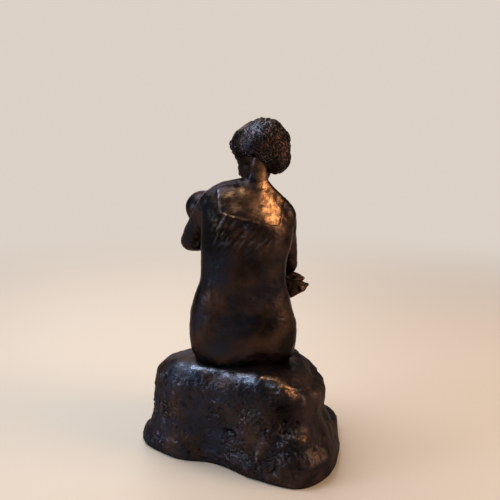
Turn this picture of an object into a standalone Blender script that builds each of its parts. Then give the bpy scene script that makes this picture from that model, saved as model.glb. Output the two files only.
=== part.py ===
"""Mother and child: a dark bronze about 29 cm tall, cast in one piece with its rock.

A mother in a plain slip sits on a rough rock with her head turned to the child on her left arm.
Her back is at +Y, her left side at +X and Z is up. The origin is on the flat underside of the
rock, below her spine. Sizes are in metres. Each form of the group is modelled on its own, as a
sculptor lays on clay, and the forms are then fused into the one skin of the casting.
"""

import math

import bmesh
import bpy
import numpy as np
from mathutils import Matrix, Vector

NODE_NAME = "mother_and_child"

# Rock: its outline is in shares of ROCK_REACH, and its top drops in shares of ROCK_TOP_DROP
SEAT_HEIGHT = 0.085
ROCK_REACH = 0.100
ROCK_TOP_DROP = 0.010
LEDGE_HEIGHT = 0.013
ROCK_BELOW_FLOOR = 0.006
ROCK_LUMP_HEIGHT = 0.0016
ROCK_LUMP_LENGTH = 0.030
ROCK_ANGLES = (-10, 15, 35, 60, 90, 118, 140, 165, 195, 220, 250, 290, 325)
ROCK_FOOT_SHARES = (0.99, 0.68, 0.45, 0.41, 0.53, 0.80, 0.82, 0.78, 0.83, 1.03, 1.13, 1.12, 1.04)
ROCK_LEDGE_SHARES = (0.96, 0.68, 0.45, 0.41, 0.52, 0.80, 0.82, 0.77, 0.81, 0.99, 1.09, 1.08, 1.00)
ROCK_WAIST_SHARES = (0.91, 0.67, 0.46, 0.41, 0.50, 0.79, 0.81, 0.74, 0.74, 0.73, 0.66, 0.66, 0.80)
ROCK_MIDDLE_SHARES = (0.86, 0.67, 0.465, 0.415, 0.48, 0.65, 0.67, 0.65, 0.65, 0.67, 0.63, 0.63, 0.75)
ROCK_SHOULDER_SHARES = (0.85, 0.66, 0.465, 0.415, 0.46, 0.61, 0.65, 0.65, 0.65, 0.64, 0.61, 0.61, 0.71)
ROCK_RIM_SHARES = (0.78, 0.62, 0.435, 0.395, 0.435, 0.57, 0.59, 0.55, 0.54, 0.57, 0.57, 0.57, 0.64)
ROCK_TOP_DROPS = (0.35, 0.85, 0.75, 0.70, 0.40, 0.50, 1.00, 1.05, 0.75, 0.20, 0.10, 0.10, 0.00)
ROCK_TOP_SHARE = 0.80
# Hollows, ridges and bumps in the rock: x, y, z, radius sideways, radius upwards, height
ROCK_FORMS = (
    (-0.0285, 0.0530, 0.0490, 0.0090, 0.0125, -0.0085),
    (-0.0150, 0.0520, 0.0660, 0.0100, 0.0080, 0.0022),
    (-0.0425, 0.0480, 0.0560, 0.0065, 0.0190, 0.0034),
    (-0.0400, 0.0580, 0.0360, 0.0120, 0.0055, 0.0030),
    (-0.0310, 0.0560, 0.0390, 0.0060, 0.0040, 0.0012),
    (-0.0115, 0.0415, 0.0800, 0.0065, 0.0060, 0.0042),
    (0.0040, 0.0440, 0.0600, 0.0090, 0.0110, -0.0036),
    (-0.0130, 0.0530, 0.0300, 0.0050, 0.0060, 0.0022),
    (-0.0060, 0.0550, 0.0170, 0.0050, 0.0090, 0.0026),
    (-0.0190, 0.0600, 0.0180, 0.0055, 0.0080, -0.0030),
    (0.0150, 0.0390, 0.0300, 0.0110, 0.0090, -0.0026),
    (0.0735, 0.0090, 0.0380, 0.0050, 0.0100, -0.0024),
    (0.0745, 0.0070, 0.0660, 0.0045, 0.0060, -0.0014),
    (-0.0640, 0.0260, 0.0480, 0.0080, 0.0060, -0.0030),
    (0.0600, -0.0330, 0.0500, 0.0150, 0.0150, -0.0045),
    (-0.0620, -0.0300, 0.0480, 0.0140, 0.0160, -0.0045),
    (0.0760, -0.0180, 0.0300, 0.0080, 0.0120, 0.0028),
    (-0.0650, -0.0060, 0.0300, 0.0090, 0.0140, 0.0028),
)

# Mother: heights are above the seat
SPINE_X = 0.006
HIP_HALF_WIDTH = 0.046
WAIST_HALF_WIDTH = 0.0362
CHEST_HALF_WIDTH = 0.0375
SHOULDER_HALF_WIDTH = 0.0335
HIP_HEIGHT = 0.027
WAIST_HEIGHT = 0.070
CHEST_HEIGHT = 0.105
SHOULDER_HEIGHT = 0.131
NECK_FOOT_HEIGHT = 0.1485
NECK_LENGTH = 0.0185
NECK_RADIUS = 0.0095
SHOULDER_SLOPE = 0.24
BREAST_RADIUS = 0.0150
NECKLINE_HEIGHT = 0.1230
NECKLINE_SLOPE = 0.24
SLIP_THICKNESS = 0.0009
STRAP_HALF_WIDTH = 0.0055

SKULL_RISE = 0.0245
HEAD_TURN_DEG = 48
HEAD_BOW_DEG = 17
SKULL_HALF_WIDTH = 0.0165
SKULL_HALF_LENGTH = 0.0210
SKULL_HALF_HEIGHT = 0.0190
HAIR_HALF_WIDTH = 0.0215
HAIR_HALF_LENGTH = 0.0225
HAIR_HALF_HEIGHT = 0.0205
NAPE_RADIUS = 0.0125
BROW_ROLL_RADIUS = 0.0048
CURL_RADIUS = 0.0047
CURL_COUNT = 90

UPPER_ARM_LENGTH = 0.066
FOREARM_LENGTH = 0.053
UPPER_ARM_RADIUS = 0.0100
ELBOW_RADIUS = 0.0088
FOREARM_RADIUS = 0.0082
WRIST_RADIUS = 0.0052
FINGER_RADIUS = 0.0022
FINGER_LENGTH = 0.0150
PALM_LENGTH = 0.0170

# From neck to shoulder: across from the spine, back, and above the shoulder's height
LEFT_YOKE = ((0.0020, -0.003, 0.0160), (0.0160, -0.002, 0.0110), (0.0245, -0.001, 0.0035))
RIGHT_YOKE = ((-0.0160, -0.003, 0.0140), (-0.0265, -0.001, 0.0025), (-0.0335, 0.000, -0.0055))

THIGH_LENGTH = 0.080
THIGH_RADIUS = 0.0215
KNEE_RADIUS = 0.0150
KNEE_SPREAD = 0.048
SHIN_RADIUS = 0.0105
ANKLE_RADIUS = 0.0062
FOOT_LENGTH = 0.050
FOOT_HALF_WIDTH = 0.0088
SKIRT_DROP = 0.052
SKIRT_FOLDS = 9
SKIRT_FOLD_DEPTH = 0.0020

# Child
CHILD_HEAD_RADIUS = 0.0158
CHILD_CHEST_RADIUS = 0.0128
CHILD_HIP_RADIUS = 0.0148
CHILD_ARM_RADIUS = 0.0046
CHILD_LEG_RADIUS = 0.0072
CHILD_ANKLE_RADIUS = 0.0048
CHILD_FOOT_LENGTH = 0.0210

# Casting
SKIN_VOXEL = 0.0012
SMOOTH_PASSES = 6
KEPT_SHARE = 0.037
PATINA_COLOUR = (0.035, 0.024, 0.018, 1)


def clear_scene():
    for old in list(bpy.data.objects):
        bpy.data.objects.remove(old, do_unlink=True)


def curve_through(keys, steps, closed=False):
    """Rows on a smooth curve through the key rows, with the given steps between two of them."""
    rows = np.array(keys, float)
    count = len(rows)
    spans = count if closed else count - 1
    t = np.arange(spans * steps + (0 if closed else 1)) / steps
    i = np.minimum(t.astype(int), spans - 1)
    u = (t - i)[:, None]

    def row(k):
        return rows[k % count] if closed else rows[np.clip(k, 0, count - 1)]

    a, b, c, d = row(i - 1), row(i), row(i + 1), row(i + 2)
    return 0.5 * (2 * b + (c - a) * u + (2 * a - 5 * b + 4 * c - d) * u**2 + (3 * b - a - 3 * c + d) * u**3)


def waves(points, length):
    """Gentle lumps of about one wavelength across: a sum of plane waves, between -1 and 1."""
    total = np.zeros(points.shape[:-1])
    for n in range(1, 8):
        lean, turn = math.cos(2.4 * n) * 0.9, 2.399963 * n
        flat = math.sqrt(1 - lean * lean)
        way = np.array((flat * math.cos(turn), flat * math.sin(turn), lean))
        total += np.sin(points @ way * (2 * math.pi / length) * (1 + 0.11 * n) + 1.7 * n)
    return total / 4


def new_object(mesh, name="form"):
    obj = bpy.data.objects.new(name, mesh)
    bpy.context.scene.collection.objects.link(obj)
    return obj


def loft(rings, name="form"):
    """A closed solid through rings of points, with a flat cap at each end."""
    count, around = rings.shape[:2]
    index = np.arange(count * around).reshape(count, around)
    ahead = np.roll(index, -1, axis=1)
    sides = np.stack([index[:-1], ahead[:-1], ahead[1:], index[1:]], axis=-1).reshape(-1, 4)
    faces = sides.tolist() + [index[0][::-1].tolist(), index[-1].tolist()]
    mesh = bpy.data.meshes.new(name)
    mesh.from_pydata(rings.reshape(-1, 3).tolist(), [], faces)
    return new_object(mesh, name)


def ellipsoid(centre, radii, turn=Matrix.Identity(4)):
    """A ball stretched to three radii, about axes that turn gives."""
    mesh = bpy.data.meshes.new("form")
    ball = bmesh.new()
    bmesh.ops.create_uvsphere(ball, u_segments=24, v_segments=14, radius=1)
    ball.to_mesh(mesh)
    ball.free()
    mesh.transform(Matrix.Translation(centre) @ turn @ Matrix.Diagonal((*radii, 1)))
    return new_object(mesh)


def limb(points, radii):
    """A rounded limb: a curve with its own radius at each point, and a ball at each end."""
    curve = bpy.data.curves.new("limb", "CURVE")
    curve.dimensions = "3D"
    curve.bevel_depth = 1
    curve.bevel_resolution = 3
    curve.resolution_u = 6
    curve.use_fill_caps = True
    spline = curve.splines.new("BEZIER")
    spline.bezier_points.add(len(points) - 1)
    for bezier, point, radius in zip(spline.bezier_points, points, radii):
        bezier.co = point
        bezier.radius = radius
        bezier.handle_left_type = bezier.handle_right_type = "AUTO"
    guide = new_object(curve)
    drawn = guide.evaluated_get(bpy.context.evaluated_depsgraph_get())
    mesh = bpy.data.meshes.new_from_object(drawn)
    bpy.data.objects.remove(guide)
    welded = bmesh.new()
    welded.from_mesh(mesh)
    bmesh.ops.remove_doubles(welded, verts=welded.verts, dist=1e-5)
    bmesh.ops.recalc_face_normals(welded, faces=welded.faces)
    welded.to_mesh(mesh)
    welded.free()
    ends = [ellipsoid(points[k], (radii[k],) * 3) for k in (0, -1)]
    return [new_object(mesh), *ends]


def rock():
    """The rock: a ragged outline at each share of its height, from the floor to the seat."""
    angles = np.radians(ROCK_ANGLES)
    ways = np.stack([np.cos(angles), np.sin(angles)], axis=1)
    rise = SEAT_HEIGHT - LEDGE_HEIGHT
    levels = (
        (-ROCK_BELOW_FLOOR, ROCK_FOOT_SHARES, 0),
        (0.55 * LEDGE_HEIGHT, ROCK_FOOT_SHARES, 0),
        (LEDGE_HEIGHT, ROCK_LEDGE_SHARES, 0),
        (LEDGE_HEIGHT + 0.10 * rise, ROCK_WAIST_SHARES, 0),
        (LEDGE_HEIGHT + 0.42 * rise, ROCK_MIDDLE_SHARES, 0.4),
        (LEDGE_HEIGHT + 0.80 * rise, ROCK_SHOULDER_SHARES, 0.8),
        (LEDGE_HEIGHT + 0.95 * rise, ROCK_RIM_SHARES, 1),
        (SEAT_HEIGHT, np.array(ROCK_RIM_SHARES) * ROCK_TOP_SHARE, 0.3),
    )
    rings = []
    for height, shares, dropped in levels:
        tops = height - dropped * ROCK_TOP_DROP * np.array(ROCK_TOP_DROPS)
        outline = ways * (ROCK_REACH * np.array(shares))[:, None]
        rings.append(curve_through(np.column_stack([outline, tops]), 12, closed=True))
    rings = curve_through(np.array(rings).reshape(len(levels), -1), 8).reshape(-1, len(rings[0]), 3)
    outward = rings * (1, 1, 0)
    outward /= np.linalg.norm(outward, axis=2, keepdims=True)
    rings += outward * (ROCK_LUMP_HEIGHT * waves(rings, ROCK_LUMP_LENGTH))[..., None]
    facing = np.cross(np.roll(rings, -1, axis=1) - np.roll(rings, 1, axis=1), np.gradient(rings, axis=0))
    facing /= np.linalg.norm(facing, axis=2, keepdims=True)
    height = np.zeros(rings.shape[:2])
    for x, y, z, across, tall, rise in ROCK_FORMS:
        height += rise * np.exp(-(((rings - (x, y, z)) / (across, across, tall)) ** 2).sum(axis=2))
    return [loft(rings + facing * height[..., None])]


def mother_place(x, y, above_seat):
    return Vector((x, y, SEAT_HEIGHT + above_seat))


def torso_rows():
    """The key sections of the trunk, from the seat to the top of the neck."""
    neck_top = NECK_FOOT_HEIGHT + NECK_LENGTH
    return (
        # height, centre x, centre y, half width, front depth, back depth, slope
        (-0.012, SPINE_X, -0.004, HIP_HALF_WIDTH * 0.70, 0.022, 0.020, 0),
        (0.006, SPINE_X, -0.003, HIP_HALF_WIDTH * 0.95, 0.028, 0.0285, 0),
        (HIP_HEIGHT, SPINE_X, -0.002, HIP_HALF_WIDTH, 0.030, 0.0315, 0),
        (0.5 * (HIP_HEIGHT + WAIST_HEIGHT), SPINE_X + 0.001, 0, HIP_HALF_WIDTH * 0.92, 0.0265, 0.0275, 0),
        (WAIST_HEIGHT, SPINE_X, 0.001, WAIST_HALF_WIDTH, 0.0235, 0.0250, 0),
        (0.5 * (WAIST_HEIGHT + CHEST_HEIGHT), SPINE_X - 0.001, 0.001, WAIST_HALF_WIDTH * 1.005, 0.024, 0.0255, 0),
        (CHEST_HEIGHT, SPINE_X - 0.003, 0, CHEST_HALF_WIDTH, 0.025, 0.0265, 0.5 * SHOULDER_SLOPE),
        (0.4 * CHEST_HEIGHT + 0.6 * SHOULDER_HEIGHT, SPINE_X - 0.004, 0, CHEST_HALF_WIDTH, 0.022, 0.0255, SHOULDER_SLOPE),
        (SHOULDER_HEIGHT, SPINE_X - 0.004, -0.001, SHOULDER_HALF_WIDTH, 0.018, 0.0215, SHOULDER_SLOPE),
        (SHOULDER_HEIGHT + 0.011, SPINE_X - 0.005, -0.002, 0.76 * SHOULDER_HALF_WIDTH, 0.014, 0.0165, 1.1 * SHOULDER_SLOPE),
        (NECK_FOOT_HEIGHT, SPINE_X - 0.009, -0.004, 1.50 * NECK_RADIUS, 0.0115, 0.0125, 0.8 * SHOULDER_SLOPE),
        (NECK_FOOT_HEIGHT + 0.4 * NECK_LENGTH, SPINE_X - 0.011, -0.006, NECK_RADIUS, NECK_RADIUS, 0.0100, 0),
        (neck_top, SPINE_X - 0.0125, -0.009, 0.98 * NECK_RADIUS, NECK_RADIUS, 0.0095, 0),
    )


def trunk(rows, thicker=0.0):
    """Rounded sections stacked up the spine; thicker adds cloth to each."""
    turn = np.linspace(0, 2 * math.pi, 48, endpoint=False)
    side = np.sign(np.cos(turn)) * np.abs(np.cos(turn)) ** 0.88
    depth = np.sign(np.sin(turn)) * np.abs(np.sin(turn)) ** 0.88
    height, cx, cy, half, front, back, slope = (rows[:, k, None] for k in range(7))
    x = (half + thicker) * side
    y = (np.where(depth > 0, back, front) + thicker) * depth
    return np.stack([cx + x, cy + y, SEAT_HEIGHT + height + slope * x], axis=-1)


def torso():
    """Hips, waist, chest, shoulders and neck in one, with the breasts."""
    breasts = [
        ellipsoid(
            mother_place(SPINE_X - 0.003 + way * 0.0165, -0.0165, CHEST_HEIGHT - 0.004 + way * 0.002),
            (BREAST_RADIUS, BREAST_RADIUS * 0.9, BREAST_RADIUS * 1.1),
        )
        for way in (-1, 1)
    ]
    return [loft(trunk(curve_through(torso_rows(), 5))), *breasts]


def slip():
    """The bodice of the slip: cloth round the trunk up to a low square neckline, and two straps."""
    rows = curve_through(torso_rows(), 12)
    below = rows[rows[:, 0] < NECKLINE_HEIGHT]
    lean = np.clip((below[:, 0] - WAIST_HEIGHT) / (NECKLINE_HEIGHT - WAIST_HEIGHT), 0, 1)
    below[:, 6] = np.minimum(below[:, 6], NECKLINE_SLOPE * lean)
    made = [loft(trunk(below, SLIP_THICKNESS))]
    full = trunk(rows, SLIP_THICKNESS)
    for way in (-1, 1):
        for face in (1, -1):
            strap = []
            for height in np.linspace(NECKLINE_HEIGHT - 0.004, SHOULDER_HEIGHT + 0.007, 5):
                ring = full[np.argmin(np.abs(rows[:, 0] - height))]
                wanted = SPINE_X - 0.007 + way * 0.82 * SHOULDER_HALF_WIDTH
                near = ring[(ring[:, 1] * face) > 0]
                strap.append(Vector(near[np.argmin(np.abs(near[:, 0] - wanted))]) - Vector((0, face * STRAP_HALF_WIDTH, 0)))
            made += limb(strap, [STRAP_HALF_WIDTH] * 5)
    return made


def skull_frame():
    """Where the skull's centre is, and the turn and bow of the head about it."""
    rise = NECK_FOOT_HEIGHT + SKULL_RISE
    centre = mother_place(SPINE_X - 0.0125, -0.010, rise)
    turn = Matrix.Rotation(math.radians(HEAD_TURN_DEG), 4, "Z")
    bow = Matrix.Rotation(math.radians(HEAD_BOW_DEG), 4, "X")
    return Matrix.Translation(centre) @ turn @ bow


def head():
    """Skull, face and hair. In the head's own frame the face looks along -Y."""
    frame = skull_frame()
    face_depth = SKULL_HALF_LENGTH
    forms = (
        ((0, 0, 0.004), (SKULL_HALF_WIDTH, SKULL_HALF_LENGTH, SKULL_HALF_HEIGHT)),
        ((0, -0.0060, -0.0095), (0.0128, 0.0142, 0.0155)),
        ((0, -0.0145, -0.0195), (0.0062, 0.0062, 0.0052)),
        ((0, -face_depth, -0.0065), (0.0024, 0.0040, 0.0046)),
        ((0, -face_depth + 0.003, -0.0140), (0.0055, 0.0036, 0.0030)),
    )
    made = []
    for place, radii in forms:
        made.append(ellipsoid(frame @ Vector(place), radii, frame.to_quaternion().to_matrix().to_4x4()))
    return made + hair(frame)


def hair(frame):
    """A short mop of curls: a ball of hair with a lump for each lock, open over the face."""
    centre = Vector((0, 0.0080, 0.0065))
    radii = Vector((HAIR_HALF_WIDTH, HAIR_HALF_LENGTH, HAIR_HALF_HEIGHT))
    turn = frame.to_quaternion().to_matrix().to_4x4()
    nape = Vector((0, 0.0165, -0.0080))
    crown = Vector((0, -0.0010, 0.0150))
    brow = ((0.0135, -0.0075, 0.0055), (0.0105, -0.0120, 0.0100), (0.0050, -0.0165, 0.0150))
    brow += tuple((-1.15 * x, y, z) for x, y, z in reversed(brow))
    made = [
        ellipsoid(frame @ centre, radii, turn),
        ellipsoid(frame @ nape, (NAPE_RADIUS * 1.15, NAPE_RADIUS, NAPE_RADIUS), turn),
        ellipsoid(frame @ crown, (0.0172, 0.0180, 0.0130), turn),
        *limb([frame @ Vector(place) for place in brow], [BROW_ROLL_RADIUS] * len(brow)),
    ]
    for k in range(CURL_COUNT):
        rise = 1 - 2 * (k + 0.5) / CURL_COUNT
        flat = math.sqrt(1 - rise * rise)
        turn_of_lock = 2.399963 * k + 0.22 * math.sin(5.3 * k)
        way = Vector((flat * math.cos(turn_of_lock), flat * math.sin(turn_of_lock), rise))
        place = centre + way * radii
        over_face = place.y < -0.0105 and place.z < 0.007
        under_nape = place.z < -0.006 and place.y < 0.004
        if not (over_face or under_nape):
            made.append(ellipsoid(frame @ place, (CURL_RADIUS * (1 + 0.16 * math.sin(3.7 * k)),) * 3))
    return made


def hand(wrist, along, across, curl):
    """A palm, four fingers side by side that curl towards the back of curl, and a thumb."""
    along, across, curl = along.normalized(), across.normalized(), curl.normalized()
    knuckles = wrist + along * PALM_LENGTH
    made = limb([wrist, (wrist + knuckles) / 2, knuckles], [WRIST_RADIUS * 0.9, 0.0058, 0.0050])
    for k in range(4):
        side = across * (k - 1.5) * 1.75 * FINGER_RADIUS
        base = knuckles + side - along * 0.003
        bend = base + along * 0.55 * FINGER_LENGTH + curl * 0.10 * FINGER_LENGTH
        tip = bend + along * 0.30 * FINGER_LENGTH + curl * 0.42 * FINGER_LENGTH
        made += limb([base, bend, tip], [FINGER_RADIUS * 1.1, FINGER_RADIUS, FINGER_RADIUS * 0.85])
    root = wrist + along * 0.35 * PALM_LENGTH - across * 0.004
    thumb = root - across * 0.006 + along * 0.007 + curl * 0.002
    made += limb([root, thumb, thumb + along * 0.005 + curl * 0.002], [0.0030, 0.0026, 0.0021])
    return made


def arm(shoulder, upper_way, fore_way, bow, slimmer):
    """Upper arm and forearm; bow is the side to which the forearm swells. Gives the wrist too."""
    elbow = shoulder + Vector(upper_way).normalized() * UPPER_ARM_LENGTH
    wrist = elbow + Vector(fore_way).normalized() * FOREARM_LENGTH
    swell = Vector(bow) * 0.4 * FOREARM_RADIUS
    joints = [
        shoulder,
        shoulder.lerp(elbow, 0.45) + Vector((0, 0, 0.2 * UPPER_ARM_RADIUS)),
        shoulder.lerp(elbow, 0.87),
        elbow.lerp(wrist, 0.05),
        elbow.lerp(wrist, 0.33) + swell,
        elbow.lerp(wrist, 0.67) + swell,
        wrist,
    ]
    deltoid = 1.18 * UPPER_ARM_RADIUS
    radii = [deltoid, UPPER_ARM_RADIUS, ELBOW_RADIUS, ELBOW_RADIUS, FOREARM_RADIUS, 0.9 * FOREARM_RADIUS, WRIST_RADIUS]
    return limb(joints, [slimmer * radius for radius in radii]), wrist


def arms():
    """The left arm is raised round the child's head and back; the right hangs and bends forward."""
    left_shoulder = mother_place(SPINE_X + 0.73 * SHOULDER_HALF_WIDTH, -0.001, SHOULDER_HEIGHT + 0.0035)
    right_shoulder = mother_place(SPINE_X - SHOULDER_HALF_WIDTH, 0, SHOULDER_HEIGHT - 0.0075)
    left, left_wrist = arm(left_shoulder, (0.38, -0.70, -0.61), (-0.82, -0.55, -0.14), (0.1, -1, 0), 1)
    right, right_wrist = arm(right_shoulder, (-0.12, -0.63, -0.77), (0.79, -0.61, -0.13), (-0.6, -0.6, 0), 0.93)
    left_yoke = [mother_place(SPINE_X + x, y, SHOULDER_HEIGHT + z) for x, y, z in LEFT_YOKE]
    right_yoke = [mother_place(SPINE_X + x, y, SHOULDER_HEIGHT + z) for x, y, z in RIGHT_YOKE]
    made = left + right
    made += limb(left_yoke, [0.80 * UPPER_ARM_RADIUS, 0.95 * UPPER_ARM_RADIUS, 1.15 * UPPER_ARM_RADIUS])
    made += limb(right_yoke, [0.90 * UPPER_ARM_RADIUS, 0.95 * UPPER_ARM_RADIUS, UPPER_ARM_RADIUS])
    made += hand(left_wrist, Vector((-0.95, -0.30, -0.22)), Vector((0, 0.35, 1)), Vector((0, 1, -0.2)))
    made += hand(right_wrist, Vector((0.95, -0.10, -0.12)), Vector((0, 0.3, 1)), Vector((0.1, 1, 0)))
    return made


def knee(way):
    return mother_place(SPINE_X - 0.002 + way * 0.5 * KNEE_SPREAD, -THIGH_LENGTH, THIGH_RADIUS - 0.001 + 0.001 * way)


def legs():
    """Thighs on the rock, shins down its front and bare feet on the ledge."""
    made = []
    for way in (-1, 1):
        hip = mother_place(SPINE_X + way * (HIP_HALF_WIDTH - THIGH_RADIUS - 0.005), -0.004, THIGH_RADIUS)
        bent = knee(way)
        middle = hip.lerp(bent, 0.55) + Vector((way * 0.001, 0, 0.001))
        made += limb([hip, middle, bent], [THIGH_RADIUS, THIGH_RADIUS * 0.90, KNEE_RADIUS])
        ankle = Vector((bent.x - way * 0.005, bent.y + 0.013 - 0.004 * way, LEDGE_HEIGHT + 0.011))
        calf = bent.lerp(ankle, 0.45) + Vector((0, 0.004, 0))
        shin_radii = [KNEE_RADIUS * 0.93, SHIN_RADIUS * 1.08, SHIN_RADIUS * 0.75, ANKLE_RADIUS]
        made += limb([bent, calf, calf.lerp(ankle, 0.6), ankle], shin_radii)
        made += foot(ankle, way)
    return made


def foot(ankle, way):
    """A bare foot from heel to toes, flat on the ledge."""
    sole = LEDGE_HEIGHT + 0.0005
    heel = Vector((ankle.x, ankle.y + 0.006, sole + 0.0055))
    ahead = Vector((way * 0.10, -1, 0)).normalized()
    aside = Vector((1, way * 0.10, 0)).normalized()
    instep = heel + ahead * 0.42 * FOOT_LENGTH + Vector((0, 0, 0.002))
    ball = heel + ahead * 0.72 * FOOT_LENGTH
    made = limb([heel, instep, ball], [0.0062, 0.0070, 0.0052])
    made.append(ellipsoid(ball, (FOOT_HALF_WIDTH, 0.010, 0.0050)))
    for k in range(5):
        side = aside * way * (2 - k) * -0.36 * FOOT_HALF_WIDTH
        reach = 0.90 - 0.035 * k
        toe = heel + ahead * reach * FOOT_LENGTH + side
        toe.z = sole + 0.0028
        made += limb([ball + side * 0.8, toe], [0.0034, 0.0030 if k == 0 else 0.0023])
    return made


def skirt():
    """The slip over the lap, and its hem hanging in folds over the shins."""
    knees = (knee(-1), knee(1))
    middle_x = (knees[0].x + knees[1].x) / 2
    reach = KNEE_SPREAD / 2 + KNEE_RADIUS
    top = SEAT_HEIGHT + THIGH_RADIUS
    lap = (
        # y, centre x, centre z, half width, half height, dip between the thighs
        (0.004, SPINE_X, top, HIP_HALF_WIDTH * 0.94, 0.019, 0),
        (-0.024, SPINE_X, top, HIP_HALF_WIDTH * 0.97, 0.0210, 0.001),
        (-0.052, middle_x + 0.001, top, HIP_HALF_WIDTH * 0.94, 0.0190, 0.003),
        (-THIGH_LENGTH, middle_x, top - 0.001, reach + 0.001, 0.0160, 0.004),
        (-THIGH_LENGTH - 0.013, middle_x, top - 0.003, reach - 0.001, 0.0125, 0.004),
        (-THIGH_LENGTH - 0.017, middle_x, top - 0.005, reach - 0.005, 0.0070, 0.002),
    )
    rows = curve_through(lap, 5)
    turn = np.linspace(0, 2 * math.pi, 48, endpoint=False)
    side = np.sign(np.cos(turn)) * np.abs(np.cos(turn)) ** 0.75
    lift = np.sign(np.sin(turn)) * np.abs(np.sin(turn)) ** 0.75
    y, cx, cz, half, high, dip = (rows[:, k, None] for k in range(6))
    sink = dip * np.exp(-((side / 0.28) ** 2)) * np.maximum(lift, 0)
    lap_rings = np.stack([cx + half * side, y + 0 * side, cz + high * lift - sink], axis=-1)
    hem = curve_through(
        (
            # drop below the lap, y of the centre, half width, half depth, depth of fold
            (0.000, -THIGH_LENGTH + 0.001, reach + 0.0005, 0.0195, 0),
            (0.40 * SKIRT_DROP, -THIGH_LENGTH + 0.004, reach + 0.0005, 0.0185, 0.6 * SKIRT_FOLD_DEPTH),
            (SKIRT_DROP, -THIGH_LENGTH + 0.009, reach + 0.002, 0.0180, SKIRT_FOLD_DEPTH),
        ),
        6,
    )
    around = np.linspace(0, 2 * math.pi, 132, endpoint=False)
    drop, cy, half, deep, fold = (hem[:, k, None] for k in range(5))
    out = 1 + fold / deep * np.cos(SKIRT_FOLDS * around + 0.9 * np.sin(2 * around))
    edge = np.sign(np.cos(around)) * np.abs(np.cos(around)) ** 0.7
    face = np.sign(np.sin(around)) * np.abs(np.sin(around)) ** 0.7
    hem_rings = np.stack([middle_x + half * edge * out, cy + deep * face * out, top - drop + 0 * out], axis=-1)
    return [loft(lap_rings), loft(hem_rings[::-1])]


def child():
    """The child sits in the lap, leans on the left arm and looks up; its feet pass the right arm."""
    seat = mother_place(0.002, -0.043, 2 * THIGH_RADIUS + 0.014)
    chest = seat + Vector((0.027, -0.008, 0.037))
    neck = chest + Vector((0.008, -0.002, 0.012))
    crown = neck + Vector((0.006, -0.002, 0.018))
    belly = seat.lerp(chest, 0.5) + Vector((-0.002, 0, 0.001))
    gaze = Vector((-0.66, -0.30, 0.60)).normalized()
    aside = (chest - seat).cross(gaze).normalized()
    made = limb(
        [seat, belly, chest, neck],
        [CHILD_HIP_RADIUS, CHILD_HIP_RADIUS, CHILD_CHEST_RADIUS, 0.0085],
    )
    made += limb([chest + aside * 0.009, chest, chest - aside * 0.009], [0.0085, 0.011, 0.0085])
    made.append(ellipsoid(crown, (CHILD_HEAD_RADIUS, CHILD_HEAD_RADIUS, CHILD_HEAD_RADIUS)))
    made.append(ellipsoid(crown + gaze * 0.0065 - Vector((0, 0, 0.003)), (0.0120,) * 3))
    made.append(ellipsoid(crown + gaze * (CHILD_HEAD_RADIUS + 0.0025) - Vector((0, 0, 0.002)), (0.0020,) * 3))
    for way in (-1, 1):
        shoulder = chest + aside * way * 0.0120 + Vector((0, 0, 0.002))
        elbow = shoulder + aside * way * 0.002 + Vector((-0.008, -0.004, -0.008))
        fist = elbow + Vector((-0.011, 0.001 * way, 0.007))
        made += limb([shoulder, elbow, fist], [CHILD_ARM_RADIUS * 1.2, CHILD_ARM_RADIUS, CHILD_ARM_RADIUS * 0.8])
        made.append(ellipsoid(fist, (0.0045, 0.0040, 0.0045)))
    for far in (0, 1):
        hip = seat + Vector((-0.005, 0.008 - 0.016 * far, -0.001))
        bent = hip + Vector((-0.020, -0.004, 0.003 + 0.003 * far))
        heel = seat + Vector((-0.038 + 0.0035 * far, 0.010 - 0.012 * far, -0.0063 + 0.0048 * far))
        ankle = heel + Vector((0.001, 0, 0.0065))
        made += limb([hip, bent, ankle], [CHILD_LEG_RADIUS * 1.2, CHILD_LEG_RADIUS, CHILD_ANKLE_RADIUS])
        tread = heel + Vector((-0.45, 0, 0.21)) * CHILD_FOOT_LENGTH
        toes = heel + Vector((-0.72, 0, 0.29)) * CHILD_FOOT_LENGTH
        made += limb([ankle, heel], [CHILD_ANKLE_RADIUS, 0.0058])
        made += limb([heel, tread, toes], [0.0058, 0.0052, 0.0034])
    return made


def patina():
    material = bpy.data.materials.new("dark_bronze")
    material.use_nodes = True
    shader = material.node_tree.nodes["Principled BSDF"]
    shader.inputs["Base Color"].default_value = PATINA_COLOUR
    shader.inputs["Metallic"].default_value = 0.9
    shader.inputs["Roughness"].default_value = 0.42
    return material


def floor_cutter(collection):
    """A block whose top is the floor: it cuts the underside flat."""
    mesh = bpy.data.meshes.new("floor_cutter")
    block = bmesh.new()
    bmesh.ops.create_cube(block, size=1)
    block.to_mesh(mesh)
    block.free()
    depth = 4 * ROCK_BELOW_FLOOR
    mesh.transform(Matrix.Translation((0, 0, -depth / 2)) @ Matrix.Diagonal((0.5, 0.5, depth, 1)))
    cutter = bpy.data.objects.new("floor_cutter", mesh)
    cutter.hide_render = True
    cutter.display_type = "WIRE"
    collection.objects.link(cutter)
    return cutter


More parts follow.
